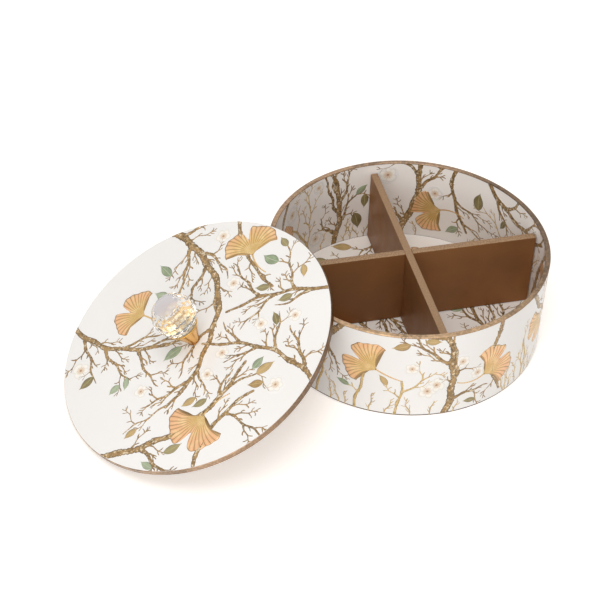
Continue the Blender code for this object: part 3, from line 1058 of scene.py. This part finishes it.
# Each ink: its piece's name, its crown as a share of the relief, the points across its
# section and the section's power, its material's name, maker and further values
INKS = {
    "limbs": ("limbs", 1.0, 5, 2.0, "bark", bark_material, (0.72, 0.0, 0.80)),
    "twigs": ("twigs", 0.7, 3, 2.0, "twig", bark_material, (0.20, 0.0, 0.70)),
    "sprigs": ("sprigs", 0.7, 3, 2.0, "sprig", bark_material, (0.30, 1.0, 0.30)),
    "sage": ("sage_leaves", 1.0, 7, 4.0, "sage", leaf_material, ((0.48, 0.53, 0.38),)),
    "olive": ("olive_leaves", 1.0, 7, 4.0, "olive", leaf_material, ((0.46, 0.40, 0.20),)),
    "bronze": ("bronze_leaves", 1.0, 7, 4.0, "bronze", leaf_material, ((0.62, 0.46, 0.22),)),
    "fans": ("gold_fans", 1.0, 13, 8.0, "gold", fan_material, ()),
    "blossoms": ("blossoms", 0.4, 3, 2.0, "blossom", blossom_material, ()),
}


def print_sheet(sheet, seed, limbs, fans, leaf_count, blossom_count, sprig_count=0):
    """The print of one film: limbs and fan leaves by layout, the rest where it finds room."""
    s = sizes()
    growth = Growth(sheet, seed)
    inks = {kind: Ink(sheet, f"{sheet.name}_{title}", s.relief * share, count, power)
            for kind, (title, share, count, power, *_) in INKS.items()}
    grow_fans(growth, inks, fans)
    for place, heading, length, turn, share, tone in limbs:
        growth.add_limb(place, math.radians(heading), length, math.radians(turn),
                        s.limb_width * share, tone)
    for level in (1, 2, 3):
        growth.branch(level)
    for stem in growth.stems:
        ink = inks["sprigs" if stem.gilt else "limbs" if stem.level < 2 else "twigs"]
        tone = np.full(len(stem.line), stem.tone)
        tone[-2:] = np.maximum(tone[-2:], 0.9 * (stem.level > 1))
        ink.strip(stem.line, stem.half, tone, -s.relief * 0.08 * stem.level)
    grow_blossoms(growth, inks, blossom_count)
    grow_leaves(growth, inks, leaf_count)
    grow_sprigs(growth, inks, sprig_count)
    for kind, ink in inks.items():
        finish, make, values = INKS[kind][4:]
        if make is leaf_material:
            values = (getattr(colours(), kind), *values)
        ink.piece(make(f"{sheet.name}_{finish}", *values))


def grow_fans(growth, inks, fans):
    """Gold fan leaves by layout, each on a curved stalk that thins towards its end."""
    rng, s = growth.rng, sizes()
    for number, (place, heading, share) in enumerate(fans):
        length = s.fan_length * share
        turned = math.radians(heading)
        flat = fan_shape(place, turned, length, inks["fans"].across, rng)
        inks["fans"].loops(flat, rng.uniform(0.0, 0.8))
        root = np.asarray(place) + 0.06 * length * rays(turned)
        stalk, _ = leaf_shape(root, turned + math.pi, length * 0.80, 0.001,
                              rng.uniform(-1.1, 1.1))
        inks["fans"].strip(stalk, np.linspace(0.00075, 0.00042, len(stalk)), 0.2,
                           -s.relief * 0.1)
        for points in (flat.reshape(-1, 2)[::5], stalk):
            growth.occupy(points, FANS - number)


def grow_leaves(growth, inks, count):
    """Leaves on the twigs, in groups of two to four that share a colour."""
    rng, s = growth.rng, sizes()
    stems = [i for i, stem in enumerate(growth.stems) if stem.level in (1, 2)]
    made = 0
    for index in rng.permutation(stems):
        if made >= count:
            break
        stem = growth.stems[index]
        place = int(len(stem.line) * rng.uniform(0.45, 0.98))
        kind = rng.choice(list(LEAF_INKS), p=list(LEAF_INKS.values()))
        heading = stem.heading(place)
        for swing in rng.permutation(LEAF_SWINGS)[:rng.integers(2, 5)]:
            length = s.leaf_length * rng.uniform(0.68, 1.12)
            width = length * rng.uniform(0.44, 0.58)
            line, half = leaf_shape(stem.line[place], heading + swing + rng.normal(0.0, 0.15),
                                    length, width, rng.uniform(-0.5, 0.5))
            edges = line_normals(line) * half[:, None]
            if not growth.sheet.inside(line, 0.001).all():
                continue
            if growth.clearance(line[4:], index, width) < width * 0.26:
                continue
            inks[kind].strip(line, half, rng.uniform(0.0, 1.0), s.relief * 0.25)
            for points in (line, line + edges, line - edges):
                growth.occupy(points, LEAVES - made)
            made += 1


def grow_blossoms(growth, inks, count):
    """Blossoms by the tips of twigs, where the film is bare."""
    rng, s = growth.rng, sizes()
    stems = [i for i, stem in enumerate(growth.stems) if stem.level >= 2]
    made = 0
    ring = rays(np.linspace(0.0, TAU, RIM_STEPS, endpoint=False))
    for index in rng.permutation(stems):
        if made >= count:
            break
        stem = growth.stems[index]
        radius = s.blossom_radius * rng.uniform(0.75, 1.15)
        ahead = stem.heading(len(stem.line) - 1)
        centre = stem.line[-1] + radius * 0.30 * rays(ahead)
        rim = centre + radius * ring
        if not growth.sheet.inside(rim, 0.0005).all():
            continue
        if growth.clearance(centre + radius * 0.55 * ring, index, radius) < radius * 0.10:
            continue
        inks["blossoms"].patch(centre, radius, 0.0, -s.relief * 0.1)
        growth.occupy(rim, BLOSSOMS - made)
        growth.occupy(centre[None], BLOSSOMS - made)
        made += 1


def grow_sprigs(growth, inks, count):
    """Fine gold sprigs that stand up from the foot of a wall film, in clumps."""
    rng = growth.rng
    for clump in range(count):
        middle = growth.sheet.length * (clump + rng.uniform(0.1, 0.9)) / count
        for _ in range(rng.integers(3, 7)):
            foot = np.array([middle + rng.normal(0.0, 0.006), -0.0005])
            line, nodes = kinked_line(foot, math.radians(90) + rng.normal(0.0, 0.16),
                                      rng.uniform(0.010, 0.031), rng.normal(0.0, 0.4), 2, rng)
            if growth.clearance(line[3:], NOBODY, 0.004) < 0.0007:
                continue
            half = stem_half(len(line), 0.00125, 0.00080, nodes, rng, 0.3)
            stem = Stem(line, half, nodes, 2, rng.uniform(0.0, 0.5))
            growth.occupy(line, SPRIGS - clump)
            inks["sprigs"].strip(line, half, stem.tone)
            for place in range(3, len(line) - 1, 3):
                side = 1 if rng.random() < 0.5 else -1
                spur, spur_half = leaf_shape(line[place], stem.heading(place) + side * 0.8,
                                             rng.uniform(0.0022, 0.0050), 0.0008, -side * 0.5)
                inks["sprigs"].strip(spur[::2], np.maximum(spur_half, 0.0003)[::2], stem.tone)


def ring_profile(inner, outer, low, high, soft=FILM / 5, count=3):
    """A ring's section, with its four corners rounded."""
    return fillet([(inner, high), (outer, high), (outer, low), (inner, low)], [soft] * 4, count)


def wrap_face():
    """Radius of the outside film's face, a print's height inside the model's own."""
    return box_span("outer_wrap")[3] - WALL_INSET - sizes().relief * FACE_ROOM


def lining_face():
    """Radius of the lining's face, through the corners of the model's flats."""
    return box_span("inner_lining")[2] / math.cos(math.pi / LINING_FLATS)


class ROTI_OT_walls(bpy.types.Operator):
    """Make the painted wall and the films on its two faces"""

    bl_idname = "roti.walls"
    bl_label = "Wall and films"

    def execute(self, context):
        soft = sizes().rim_round
        wall_low, wall_high, _, _ = box_span("side_wall")
        wrap_low, wrap_high, _, wrap_out = box_span("outer_wrap")
        lining_low, lining_high, _, _ = box_span("inner_lining")
        foot = wrap_low + sizes().foot_gap
        outer, face, inner = wrap_out - WALL_INSET, wrap_face(), lining_face()
        corners = [
            (inner - LAP, wall_high), (outer, wall_high), (outer, wrap_high - LAP),
            (face - FILM, wrap_high - LAP), (face - FILM, wall_low), (inner + FILM, wall_low),
            (inner + FILM, lining_high - LAP), (inner - LAP, lining_high - LAP)]
        profile = fillet(corners, [soft, soft, soft / 4, LAP / 4, soft / 3, soft / 3, LAP / 4,
                                   soft / 4])
        # Painted shade on the wall's foot, below the outside film, where it meets the floor
        foot_shade = (profile[:, 1] < foot).astype(float)
        # The rim's paint: a painted highlight at the front and painted shade towards +X
        paint = edge_paint_material("edge_paint_wall", colours().edge_paint,
                                    front_highlight=(1.30, 1.34, 1.28))
        dress(revolve("painted_wall", profile, upright, tone=foot_shade), paint, "box",
              "painted_edge", "side_wall")
        outside = revolve("outside_film", ring_profile(face - FILM, face, foot, wrap_high),
                          upright)
        dress(outside, film_material("film_outside"), "box", "printed_wrap", "outer_wrap")
        inside = revolve("inside_film", ring_profile(inner, inner + FILM, lining_low, lining_high),
                         upright)
        # Warmer and lighter film: painted light for the warm bounce inside the box
        dress(inside, film_material("film_inside", 0.02, 1.07), "box", "printed_lining",
              "inner_lining")
        coat(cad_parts["base_board"].data, board_material("bare_board"))
        return {"FINISHED"}


class ROTI_OT_floor_film(bpy.types.Operator):
    """Make the film on the box's floor"""

    bl_idname = "roti.floor_film"
    bl_label = "Floor film"

    def execute(self, context):
        low, high, _, out = box_span("floor_liner")
        top = high - sizes().relief
        profile = np.array([(0.0, top), (out, top), (out, low), (0.0, low)])
        made = revolve("floor_film", profile, upright, closed=False)
        # Warmer and lighter film: painted light for the warm bounce inside the box
        dress(made, film_material("film_floor", 0.02, 1.10), "box", "printed_lining",
              "floor_liner")
        return {"FINISHED"}


class ROTI_OT_lid(bpy.types.Operator):
    """Make the lid's board, its printed film and the parts under it"""

    bl_idname = "roti.lid"
    bl_label = "Lid"

    def execute(self, context):
        soft = sizes().edge_round
        low, high, bore, out = lid_frame.span("lid_board")
        _, face, _, film_out = lid_frame.span("lid_top_film")
        out, film_out = out - LID_INSET, film_out - LID_INSET / 2
        face -= sizes().relief * FACE_ROOM
        corners = [(bore, face - FILM), (film_out, face - FILM), (out, high), (out, low),
                   (bore, low)]
        profile = fillet(corners, [FILM / 4, FILM / 4, soft, soft, FILM / 4])
        # Painted shade: the lid's edge darkens on the side towards the box, turned from the light
        paint = edge_paint_material("edge_paint_lid", colours().edge_paint,
                                    shade_span=(-0.17, -0.075), deep=(0.36, 0.28, 0.18))
        dress(revolve("lid_painted_board", profile, lid_frame.place), paint, "lid",
              "painted_edge", "lid_board")
        cover = revolve("lid_film", ring_profile(bore, film_out, face - FILM, face),
                        lid_frame.place)
        dress(cover, film_material("film_lid"), "lid", "printed_wrap", "lid_top_film")
        low, high, bore, out = lid_frame.span("lid_locating_disc")
        disc = revolve("lid_disc", ring_profile(bore, out, low, high, soft, 5), lid_frame.place)
        # This paint also takes the default painted shade towards +X
        paint = edge_paint_material("disc_paint", colours().divider_paint, 0.42, 0.1)
        dress(disc, paint, "lid", "divider_paint", "lid_locating_disc")
        for node in ("knob_washer", "knob_screw"):
            coat(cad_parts[node].data, zinc_material(f"{node}_zinc"))
        return {"FINISHED"}


def divider_board(name, node, along, slot_from_above, body, rough_edge):
    """A divider as a rounded outline, extruded across its thickness.

    The section is the slotted outline with filleted corners; each rim ring is inset by one
    less the cosine while it goes out by the sine, which rounds the long edges. The slot's
    own edges are inset by a share of that, because a saw leaves them crisp.
    """
    soft, gap = sizes().edge_round, sizes().slot_gap
    low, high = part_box(node)
    half_length = (high[along] - low[along]) / 2
    across = 1 - along
    half_thick = (high[across] - low[across]) / 2
    foot, top = low[2], high[2]
    partner = "upper_divider" if node == "lower_divider" else "lower_divider"
    other_low, other_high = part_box(partner)
    slot = (other_high[along] - other_low[along]) / 2 + gap
    middle = (foot + top) / 2
    if slot_from_above:
        notch = middle - gap
        corners = [(-half_length, foot), (half_length, foot), (half_length, top), (slot, top),
                   (slot, notch), (-slot, notch), (-slot, top), (-half_length, top)]
    else:
        corners = [(-half_length, foot), (-slot, foot), (-slot, middle), (slot, middle),
                   (slot, foot), (half_length, foot), (half_length, top), (-half_length, top)]
    corners = np.array(corners)
    in_slot = np.abs(corners[:, 0]) < half_length / 2
    ahead = np.roll(corners, -1, axis=0) - corners
    ahead /= np.linalg.norm(ahead, axis=1)[:, None]
    inward = np.stack([-ahead[:, 1], ahead[:, 0]], axis=1)
    inward *= np.where(in_slot & np.roll(in_slot, -1), SLOT_CRISP, 1.0)[:, None]
    step = inward + np.roll(inward, 1, axis=0)
    hollow = np.cross(np.roll(ahead, 1, axis=0), ahead) < 0.0
    radii = np.where(in_slot, soft / 2, soft * 1.6)
    curve = np.linspace(0.0, math.pi / 2, 4)
    draw = np.append(soft * (1.0 - np.cos(curve)), soft * 1.6)
    out = np.append(half_thick - soft * (1.0 - np.sin(curve)), half_thick)
    draw, out = np.append(draw[::-1], draw), np.append(-out[::-1], out)
    flat = np.stack([
        fillet(corners + step * inset, np.where(hollow, radii + inset * SLOT_CRISP,
                                                np.maximum(radii - inset, LEAST_ROUND)), 4)
        for inset in draw])
    rings, count = flat.shape[:2]
    outline = flat[rings // 2]
    points = np.empty((rings, count, 3))
    points[..., along] = flat[..., 0]
    points[..., 2] = flat[..., 1]
    points[..., across] = out[:, None]
    index = np.arange(rings * count).reshape(rings, count)
    beside = np.roll(index, -1, axis=1)
    faces = np.stack([index[:-1], beside[:-1], beside[1:], index[1:]], axis=2)
    faces = faces.reshape(-1, 4).tolist() + [index[0, ::-1].tolist(), index[-1].tolist()]
    on_top = (outline[:, 1] > top - soft * 0.5)[None] & (draw < soft * 0.8)[:, None]
    made = build_mesh(name, points.reshape(-1, 3), faces, tone=on_top.ravel().astype(float))
    tidy_mesh(made)
    sharpen(made)
    dress(made, divider_material(f"{name}_paint", rough_edge), body, "divider_paint", node)


class ROTI_OT_dividers(bpy.types.Operator):
    """Make the two half-lapped boards of the cross divider"""

    bl_idname = "roti.dividers"
    bl_label = "Dividers"

    def execute(self, context):
        divider_board("lower_board", "lower_divider", 0, True, "cross", 0.55)
        divider_board("upper_board", "upper_divider", 1, False, "cross_top", 0.25)
        return {"FINISHED"}


def crystal_ball():
    """Height of the crystal's centre on the lid's axis, and its radius: those of its girdle."""
    along, out = along_and_out("knob_crystal", lid_frame.origin, lid_frame.axis)
    girdle = along[out > out.max() * GIRDLE]
    low, high = girdle.min(), girdle.max()
    return (high + low) / 2, float(np.hypot(out.max(), (high - low) / 2))


def bored_depth(node, bore):
    """How high on the lid's axis a node's bore reaches."""
    along, out = along_and_out(node, lid_frame.origin, lid_frame.axis)
    return along[out < bore * 1.05].max()


class ROTI_OT_knob(bpy.types.Operator):
    """Make the knob: polished bell and cut crystal"""

    bl_idname = "roti.knob"
    bl_label = "Crystal knob"

    def execute(self, context):
        s = sizes()
        self.bell(s)
        self.crystal(context, s)
        return {"FINISHED"}

    def bell(self, s):
        """The turned bell: a ball's hollow, a fine lip, a flaring side and a beaded foot.

        The hollow's radius is the root of the seat's radius squared less the height from
        the ball's centre squared. The side narrows from lip to neck as a power of the way.
        """
        foot, cup_top, bore, cup_out = lid_frame.span("knob_base")
        seat = lid_frame.span("knob_crystal")[0]
        centre, ball = crystal_ball()
        hollow = ball + s.knob_gap
        floor = seat - s.knob_gap
        lip = s.knob_lip
        rise = np.linspace(floor, cup_top - lip / 2, 9)
        inner = np.stack([np.sqrt(hollow ** 2 - (centre - rise) ** 2), rise], axis=1)
        inner[:, 0] = np.minimum(inner[:, 0], cup_out - lip)
        round_lip = np.linspace(math.pi * 0.9, -math.pi * 0.1, 7)
        lip_points = np.stack([cup_out - lip / 2 + lip / 2 * np.cos(round_lip),
                               cup_top - lip / 2 + lip / 2 * np.sin(round_lip)], axis=1)
        bead = s.knob_bead
        share = np.linspace(0.06, 1.0, 30)
        low = foot + bead * 2
        side = np.stack([s.knob_neck + (cup_out - s.knob_neck) * (1.0 - share) ** 1.1,
                         cup_top - lip / 2 - (cup_top - lip / 2 - low) * share], axis=1)
        turn = np.linspace(math.pi / 2, -math.pi / 2, 11)
        bead_points = np.stack([s.knob_foot - bead + bead * np.cos(turn),
                                foot + bead + bead * np.sin(turn)], axis=1)
        top = bored_depth("knob_base", bore)
        hole = np.array([(bore, foot), (bore, top), (0.0, top)])
        profile = np.concatenate([[(0.0, floor)], inner, lip_points, side, bead_points, hole])
        tone = np.zeros(len(profile))
        # Tone 1 in the hollow, for its painted glints
        tone[:len(inner) + 3] = 1.0
        flank = len(inner) + 1 + len(lip_points)
        # Tone below 0 down the side and on the foot, for painted shade
        tone[flank:flank + len(side)] = -0.45 * share ** 3
        tone[flank + len(side):] = -1.0
        bell = revolve("knob_bell", profile, lid_frame.place, KNOB_STEPS, closed=False,
                       tone=tone, crease=50.0)
        dress(bell, gold_plate_material("gold_plate"), "lid", "gold_plate", "knob_base")

    def crystal(self, context, s):
        """The cut stone: the model's own facets, with its triangles joined into flats.

        Its table, the highest flat, has a material slot of its own, greyer and less clear: a
        painted reflection in the table.
        """
        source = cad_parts["knob_crystal"]
        bm = bmesh.new()
        bm.from_mesh(source.data)
        bmesh.ops.remove_doubles(bm, verts=bm.verts, dist=0.000002)
        bmesh.ops.dissolve_limit(bm, angle_limit=math.radians(0.6), verts=bm.verts, edges=bm.edges)
        for face in bm.faces:
            face.smooth = False
        data = bpy.data.meshes.new("cut_crystal")
        bm.to_mesh(data)
        bm.free()
        crystal = bpy.data.objects.new("cut_crystal", data)
        context.scene.collection.objects.link(crystal)
        bevel = crystal.modifiers.new("polished_edges", "BEVEL")
        bevel.width = s.facet_edge
        bevel.segments = 1
        bevel.limit_method = "ANGLE"
        bevel.angle_limit = math.radians(8)
        dress(crystal, crystal_material("lead_crystal", (0.95, 0.95, 0.94), 0.90, 1.44), "lid",
              "lead_crystal", "knob_crystal")
        # Painted reflection: the table's grey tint and low clearness stand in for what its
        # polished face reflects
        data.materials.append(crystal_material("lead_crystal_table", (0.62, 0.59, 0.61), 0.30,
                                               1.45))
        centres = np.empty(len(data.polygons) * 3)
        data.polygons.foreach_get("center", centres)
        table = int((centres.reshape(-1, 3) @ lid_frame.axis).argmax())
        data.polygons[table].material_index = 1


def lay_out(spot, reach, limbs, fans):
    """A layout's limbs and fans: spot gives a place from its shares, reach is one length."""
    return ([(spot(a, b), heading, reach * run, turn, width, tone)
             for a, b, heading, run, turn, width, tone in limbs],
            [(spot(a, b), heading, share) for a, b, heading, share in fans])


def round_layout(radius, limbs, fans):
    """The layout of a round sheet, from degrees and shares of its radius."""
    def spot(azimuth, out):
        angle = math.radians(azimuth)
        return radius * out * math.cos(angle), radius * out * math.sin(angle)

    return lay_out(spot, radius, limbs, fans)


# Azimuth in degrees, distance as a share of the radius, heading in degrees, length as a
# share of the radius, turn in degrees, width as a share of the limb width, tone
LID_LIMB_SHARES = (
    (252.0, 1.02, 120.0, 1.75, -95.0, 1.00, 0.10),
    (20.0, 1.02, 150.0, 1.25, 70.0, 0.90, 0.15),
    (118.0, 1.02, 262.0, 1.00, 60.0, 0.62, 0.25),
    (310.0, 1.02, 95.0, 1.05, 55.0, 0.75, 0.20),
    (160.0, 1.02, 320.0, 0.80, 45.0, 0.55, 0.30),
    (222.0, 1.02, 60.0, 0.75, 35.0, 0.55, 0.25),
    (62.0, 1.02, 235.0, 0.70, -50.0, 0.60, 0.20),
)
LID_FAN_SHARES = (
    (70.0, 0.62, 20.0, 1.20),
    (205.0, 0.74, 250.0, 1.15),
    (292.0, 0.50, 300.0, 1.05),
)
FLOOR_LIMB_SHARES = (
    (20.0, 1.02, 170.0, 1.50, 60.0, 1.00, 0.10),
    (140.0, 1.02, 330.0, 1.20, -50.0, 0.80, 0.20),
    (250.0, 1.02, 60.0, 1.20, 40.0, 0.80, 0.20),
    (320.0, 1.02, 120.0, 0.80, -40.0, 0.70, 0.20),
    (85.0, 1.02, 250.0, 0.90, -40.0, 0.70, 0.20),
    (200.0, 1.02, 20.0, 0.80, 30.0, 0.70, 0.20),
)
FLOOR_FAN_SHARES = (
    (60.0, 0.55, 60.0, 1.25),
    (300.0, 0.62, 200.0, 1.20),
    (210.0, 0.55, 120.0, 1.10),
)
# Place round the wall and up it as shares, heading in degrees, length as a share of the
# height, turn in degrees, width as a share of the limb width, tone
WALL_LIMB_SHARES = (
    (0.035, -0.03, 70.0, 1.6, 60.0, 1.00, 0.15),
    (0.105, 1.03, 250.0, 0.9, 50.0, 0.60, 0.25),
    (0.150, 1.03, 300.0, 1.3, 80.0, 0.80, 0.25),
    (0.190, -0.03, 88.0, 0.65, -20.0, 0.40, 2.2),
    (0.232, -0.03, 80.0, 0.75, 30.0, 0.42, 2.1),
    (0.270, -0.03, 110.0, 1.5, -85.0, 1.00, 0.10),
    (0.330, 1.03, 290.0, 0.9, -40.0, 0.60, 0.30),
    (0.385, 1.03, 235.0, 1.2, -60.0, 0.80, 0.30),
    (0.352, -0.03, 80.0, 0.60, 25.0, 0.40, 2.1),
    (0.402, -0.03, 95.0, 0.75, -25.0, 0.42, 2.2),
    (0.446, -0.03, 78.0, 0.50, 30.0, 0.38, 2.1),
    (0.500, -0.03, 65.0, 1.6, 55.0, 1.00, 0.20),
    (0.565, 1.03, 260.0, 1.0, 45.0, 0.70, 0.25),
    (0.620, 1.03, 300.0, 1.2, 70.0, 0.75, 0.25),
    (0.685, -0.03, 85.0, 1.1, 40.0, 0.70, 0.15),
    (0.612, -0.03, 84.0, 0.60, 25.0, 0.40, 2.2),
    (0.735, -0.03, 115.0, 1.6, -75.0, 1.00, 0.10),
    (0.800, 1.03, 280.0, 0.9, -40.0, 0.60, 0.30),
    (0.860, 1.03, 240.0, 1.3, -65.0, 0.80, 0.20),
    (0.905, -0.03, 95.0, 0.70, 25.0, 0.42, 2.1),
    (0.945, -0.03, 80.0, 1.3, 45.0, 0.90, 0.20),
)
WALL_FAN_SHARES = (
    (0.090, 0.42, 200.0, 1.10),
    (0.300, 0.45, 60.0, 1.15),
    (0.425, 0.55, 150.0, 1.10),
    (0.545, 0.38, 30.0, 1.15),
    (0.655, 0.60, 220.0, 1.05),
    (0.835, 0.40, 70.0, 1.10),
)


class ROTI_OT_lid_print(bpy.types.Operator):
    """Print the lid's film"""

    bl_idname = "roti.lid_print"
    bl_label = "Lid print"

    def execute(self, context):
        _, face, _, out = lid_frame.span("lid_top_film")
        sheet = round_sheet("lid", "lid", "printed_wrap", lid_frame.place, out - FILM,
                            face - sizes().relief * FACE_ROOM)
        layout = round_layout(out - FILM, LID_LIMB_SHARES, LID_FAN_SHARES)
        print_sheet(sheet, sizes().seed, *layout, leaf_count=30, blossom_count=9)
        return {"FINISHED"}


class ROTI_OT_wall_prints(bpy.types.Operator):
    """Print the films outside and inside the wall"""

    bl_idname = "roti.wall_prints"
    bl_label = "Wall prints"

    def execute(self, context):
        seed = sizes().seed + 10
        self.wall("outer_wrap", "wrap", "printed_wrap", wrap_face(), 1.0, seed)
        self.wall("inner_lining", "lining", "printed_lining", lining_face(), -1.0, seed + 1)
        return {"FINISHED"}

    def wall(self, node, name, slot, radius, outward, seed):
        """The print of one face of the wall."""
        low, high, _, out = box_span(node)
        length, height = TAU * out, high - low
        layout = lay_out(lambda x, y: (length * x, height * y), height, WALL_LIMB_SHARES,
                         WALL_FAN_SHARES)
        sheet = wall_sheet(name, "box", slot, radius, low, high, outward)
        print_sheet(sheet, seed, *layout, leaf_count=46, blossom_count=13, sprig_count=38)


class ROTI_OT_floor_print(bpy.types.Operator):
    """Print the film on the floor of the box"""

    bl_idname = "roti.floor_print"
    bl_label = "Floor print"

    def execute(self, context):
        _, high, _, out = box_span("floor_liner")
        sheet = round_sheet("floor", "box", "printed_lining", upright, out - FILM,
                            high - sizes().relief)
        layout = round_layout(out, FLOOR_LIMB_SHARES, FLOOR_FAN_SHARES)
        print_sheet(sheet, sizes().seed + 30, *layout, leaf_count=22, blossom_count=6)
        return {"FINISHED"}


# The camera's place, its angles in degrees and its lens in millimetres, the point that the
# lamps face, half the floor's width, and how strong sky and floor shine
CAMERA_PLACE = (-0.2632, -0.7744, 0.7280)
CAMERA_YAW = 13.336
CAMERA_PITCH = 41.135
CAMERA_ROLL = -1.270
CAMERA_LENS = 87.0
LAMP_TARGET = (-0.04, 0.0, 0.03)
FLOOR_REACH = 6.0
SKY_LIGHT = 0.56
FLOOR_GLOW = 0.48


def stand(name, data, place, right, up, back):
    """An object at a place, its own X, Y and Z axes turned to three directions."""
    made = bpy.data.objects.new(name, data)
    turned = Matrix((right, up, back)).transposed().to_4x4()
    made.matrix_world = Matrix.Translation(place) @ turned
    bpy.context.scene.collection.objects.link(made)
    return made


def add_camera():
    """The camera at the photograph's place, from yaw, pitch and roll."""
    yaw, pitch, roll = (math.radians(a) for a in (CAMERA_YAW, CAMERA_PITCH, CAMERA_ROLL))
    ahead = np.array([math.sin(yaw) * math.cos(pitch), math.cos(yaw) * math.cos(pitch),
                      -math.sin(pitch)])
    right = np.array([math.cos(yaw), -math.sin(yaw), 0.0])
    down = np.cross(ahead, right)
    right, down = (math.cos(roll) * right + math.sin(roll) * down,
                   -math.sin(roll) * right + math.cos(roll) * down)
    data = bpy.data.cameras.new("camera")
    data.lens = CAMERA_LENS
    data.sensor_width = 36.0
    data.clip_start = 0.05
    data.clip_end = 20.0
    bpy.context.scene.camera = stand("camera", data, CAMERA_PLACE, right, -down, -ahead)


def add_lamp(name, place, size, power, colour):
    """A soft round lamp that faces the box."""
    data = bpy.data.lights.new(name, "AREA")
    data.shape = "DISK"
    data.size = size
    data.energy = power
    data.color = colour
    back = np.asarray(place) - LAMP_TARGET
    back /= np.linalg.norm(back)
    side = np.cross([0.0, 0.0, 1.0], back)
    side /= np.linalg.norm(side)
    stand(name, data, place, side, np.cross(back, side), back)


def floor_material():
    """A pale floor that the camera sees white where it is lit, and that keeps shadows."""
    p = Palette("pale_floor")
    p.finish(tuple(colours().floor), 0.9, more={"Specular IOR Level": 0.1})
    glow = p.add("ShaderNodeEmission")
    p.put(glow.inputs["Color"], (1.0, 0.93, 0.86))
    p.put(glow.inputs["Strength"], p.times(p.seen(), FLOOR_GLOW))
    both = p.add("ShaderNodeAddShader")
    p.put(both.inputs[0], p.shader.outputs[0])
    p.put(both.inputs[1], glow.outputs[0])
    p.put(p.tree.nodes["Material Output"].inputs["Surface"], both.outputs[0])
    return p.owner


def set_world():
    """An even pale sky, which the camera, glass and gloss see as white."""
    bpy.context.scene.world = bpy.data.worlds.new("studio")
    p = Palette(bpy.context.scene.world)
    sky = p.tree.nodes["Background"].inputs
    p.put(sky["Color"], (1.0, 0.99, 0.98))
    p.put(sky["Strength"], p.ramp(p.seen(), 0.0, 1.0, SKY_LIGHT, 1.0))


class ROTI_OT_stage(bpy.types.Operator):
    """Make the floor, the sky, the lamps and the camera"""

    bl_idname = "roti.stage"
    bl_label = "Stage"

    def execute(self, context):
        corners = FLOOR_REACH * np.array([(-1.0, -1.0, 0.0), (1.0, -1.0, 0.0), (1.0, 1.0, 0.0),
                                          (-1.0, 1.0, 0.0)])
        floor = build_mesh("floor", corners, [[0, 1, 2, 3]], smooth=False)
        floor.data.materials.append(floor_material())
        set_world()
        add_lamp("overhead", (-0.25, -0.40, 1.25), size=0.8, power=6.2,
                 colour=(1.0, 0.985, 0.965))
        add_lamp("front", (-0.75, -1.55, 0.75), size=1.6, power=13.0,
                 colour=(1.0, 0.985, 0.97))
        add_camera()
        context.scene.view_settings.view_transform = "Standard"
        return {"FINISHED"}


class ROTI_PT_panel(bpy.types.Panel):
    """The sidebar panel that lists the pieces"""

    bl_label = "Roti Box"
    bl_idname = "ROTI_PT_panel"
    bl_space_type = "VIEW_3D"
    bl_region_type = "UI"
    bl_category = "Roti Box"

    def draw(self, context):
        column = self.layout.column(align=True)
        for operator in OPERATORS:
            column.operator(operator.bl_idname)
        for group in (context.scene.roti_sizes, context.scene.roti_colours):
            box = self.layout.box()
            for name in group.__annotations__:
                box.prop(group, name)


OPERATORS = (ROTI_OT_walls, ROTI_OT_floor_film, ROTI_OT_lid, ROTI_OT_dividers, ROTI_OT_knob,
             ROTI_OT_lid_print, ROTI_OT_wall_prints, ROTI_OT_floor_print, ROTI_OT_stage)
CLASSES = (RotiSizes, RotiColours, *OPERATORS, ROTI_PT_panel)


def register():
    """Register the classes and hang the settings on the scene."""
    for known in CLASSES:
        bpy.utils.register_class(known)
    bpy.types.Scene.roti_sizes = PointerProperty(type=RotiSizes)
    bpy.types.Scene.roti_colours = PointerProperty(type=RotiColours)


def unregister():
    """Take the settings off the scene and unregister the classes."""
    del bpy.types.Scene.roti_colours
    del bpy.types.Scene.roti_sizes
    for known in reversed(CLASSES):
        bpy.utils.unregister_class(known)


def main():
    """Make every piece in order."""
    register()
    bpy.ops.roti.walls()
    bpy.ops.roti.floor_film()
    bpy.ops.roti.lid()
    bpy.ops.roti.dividers()
    bpy.ops.roti.knob()
    bpy.ops.roti.lid_print()
    bpy.ops.roti.wall_prints()
    bpy.ops.roti.floor_print()
    bpy.ops.roti.stage()


if __name__ == "__main__":
    main()
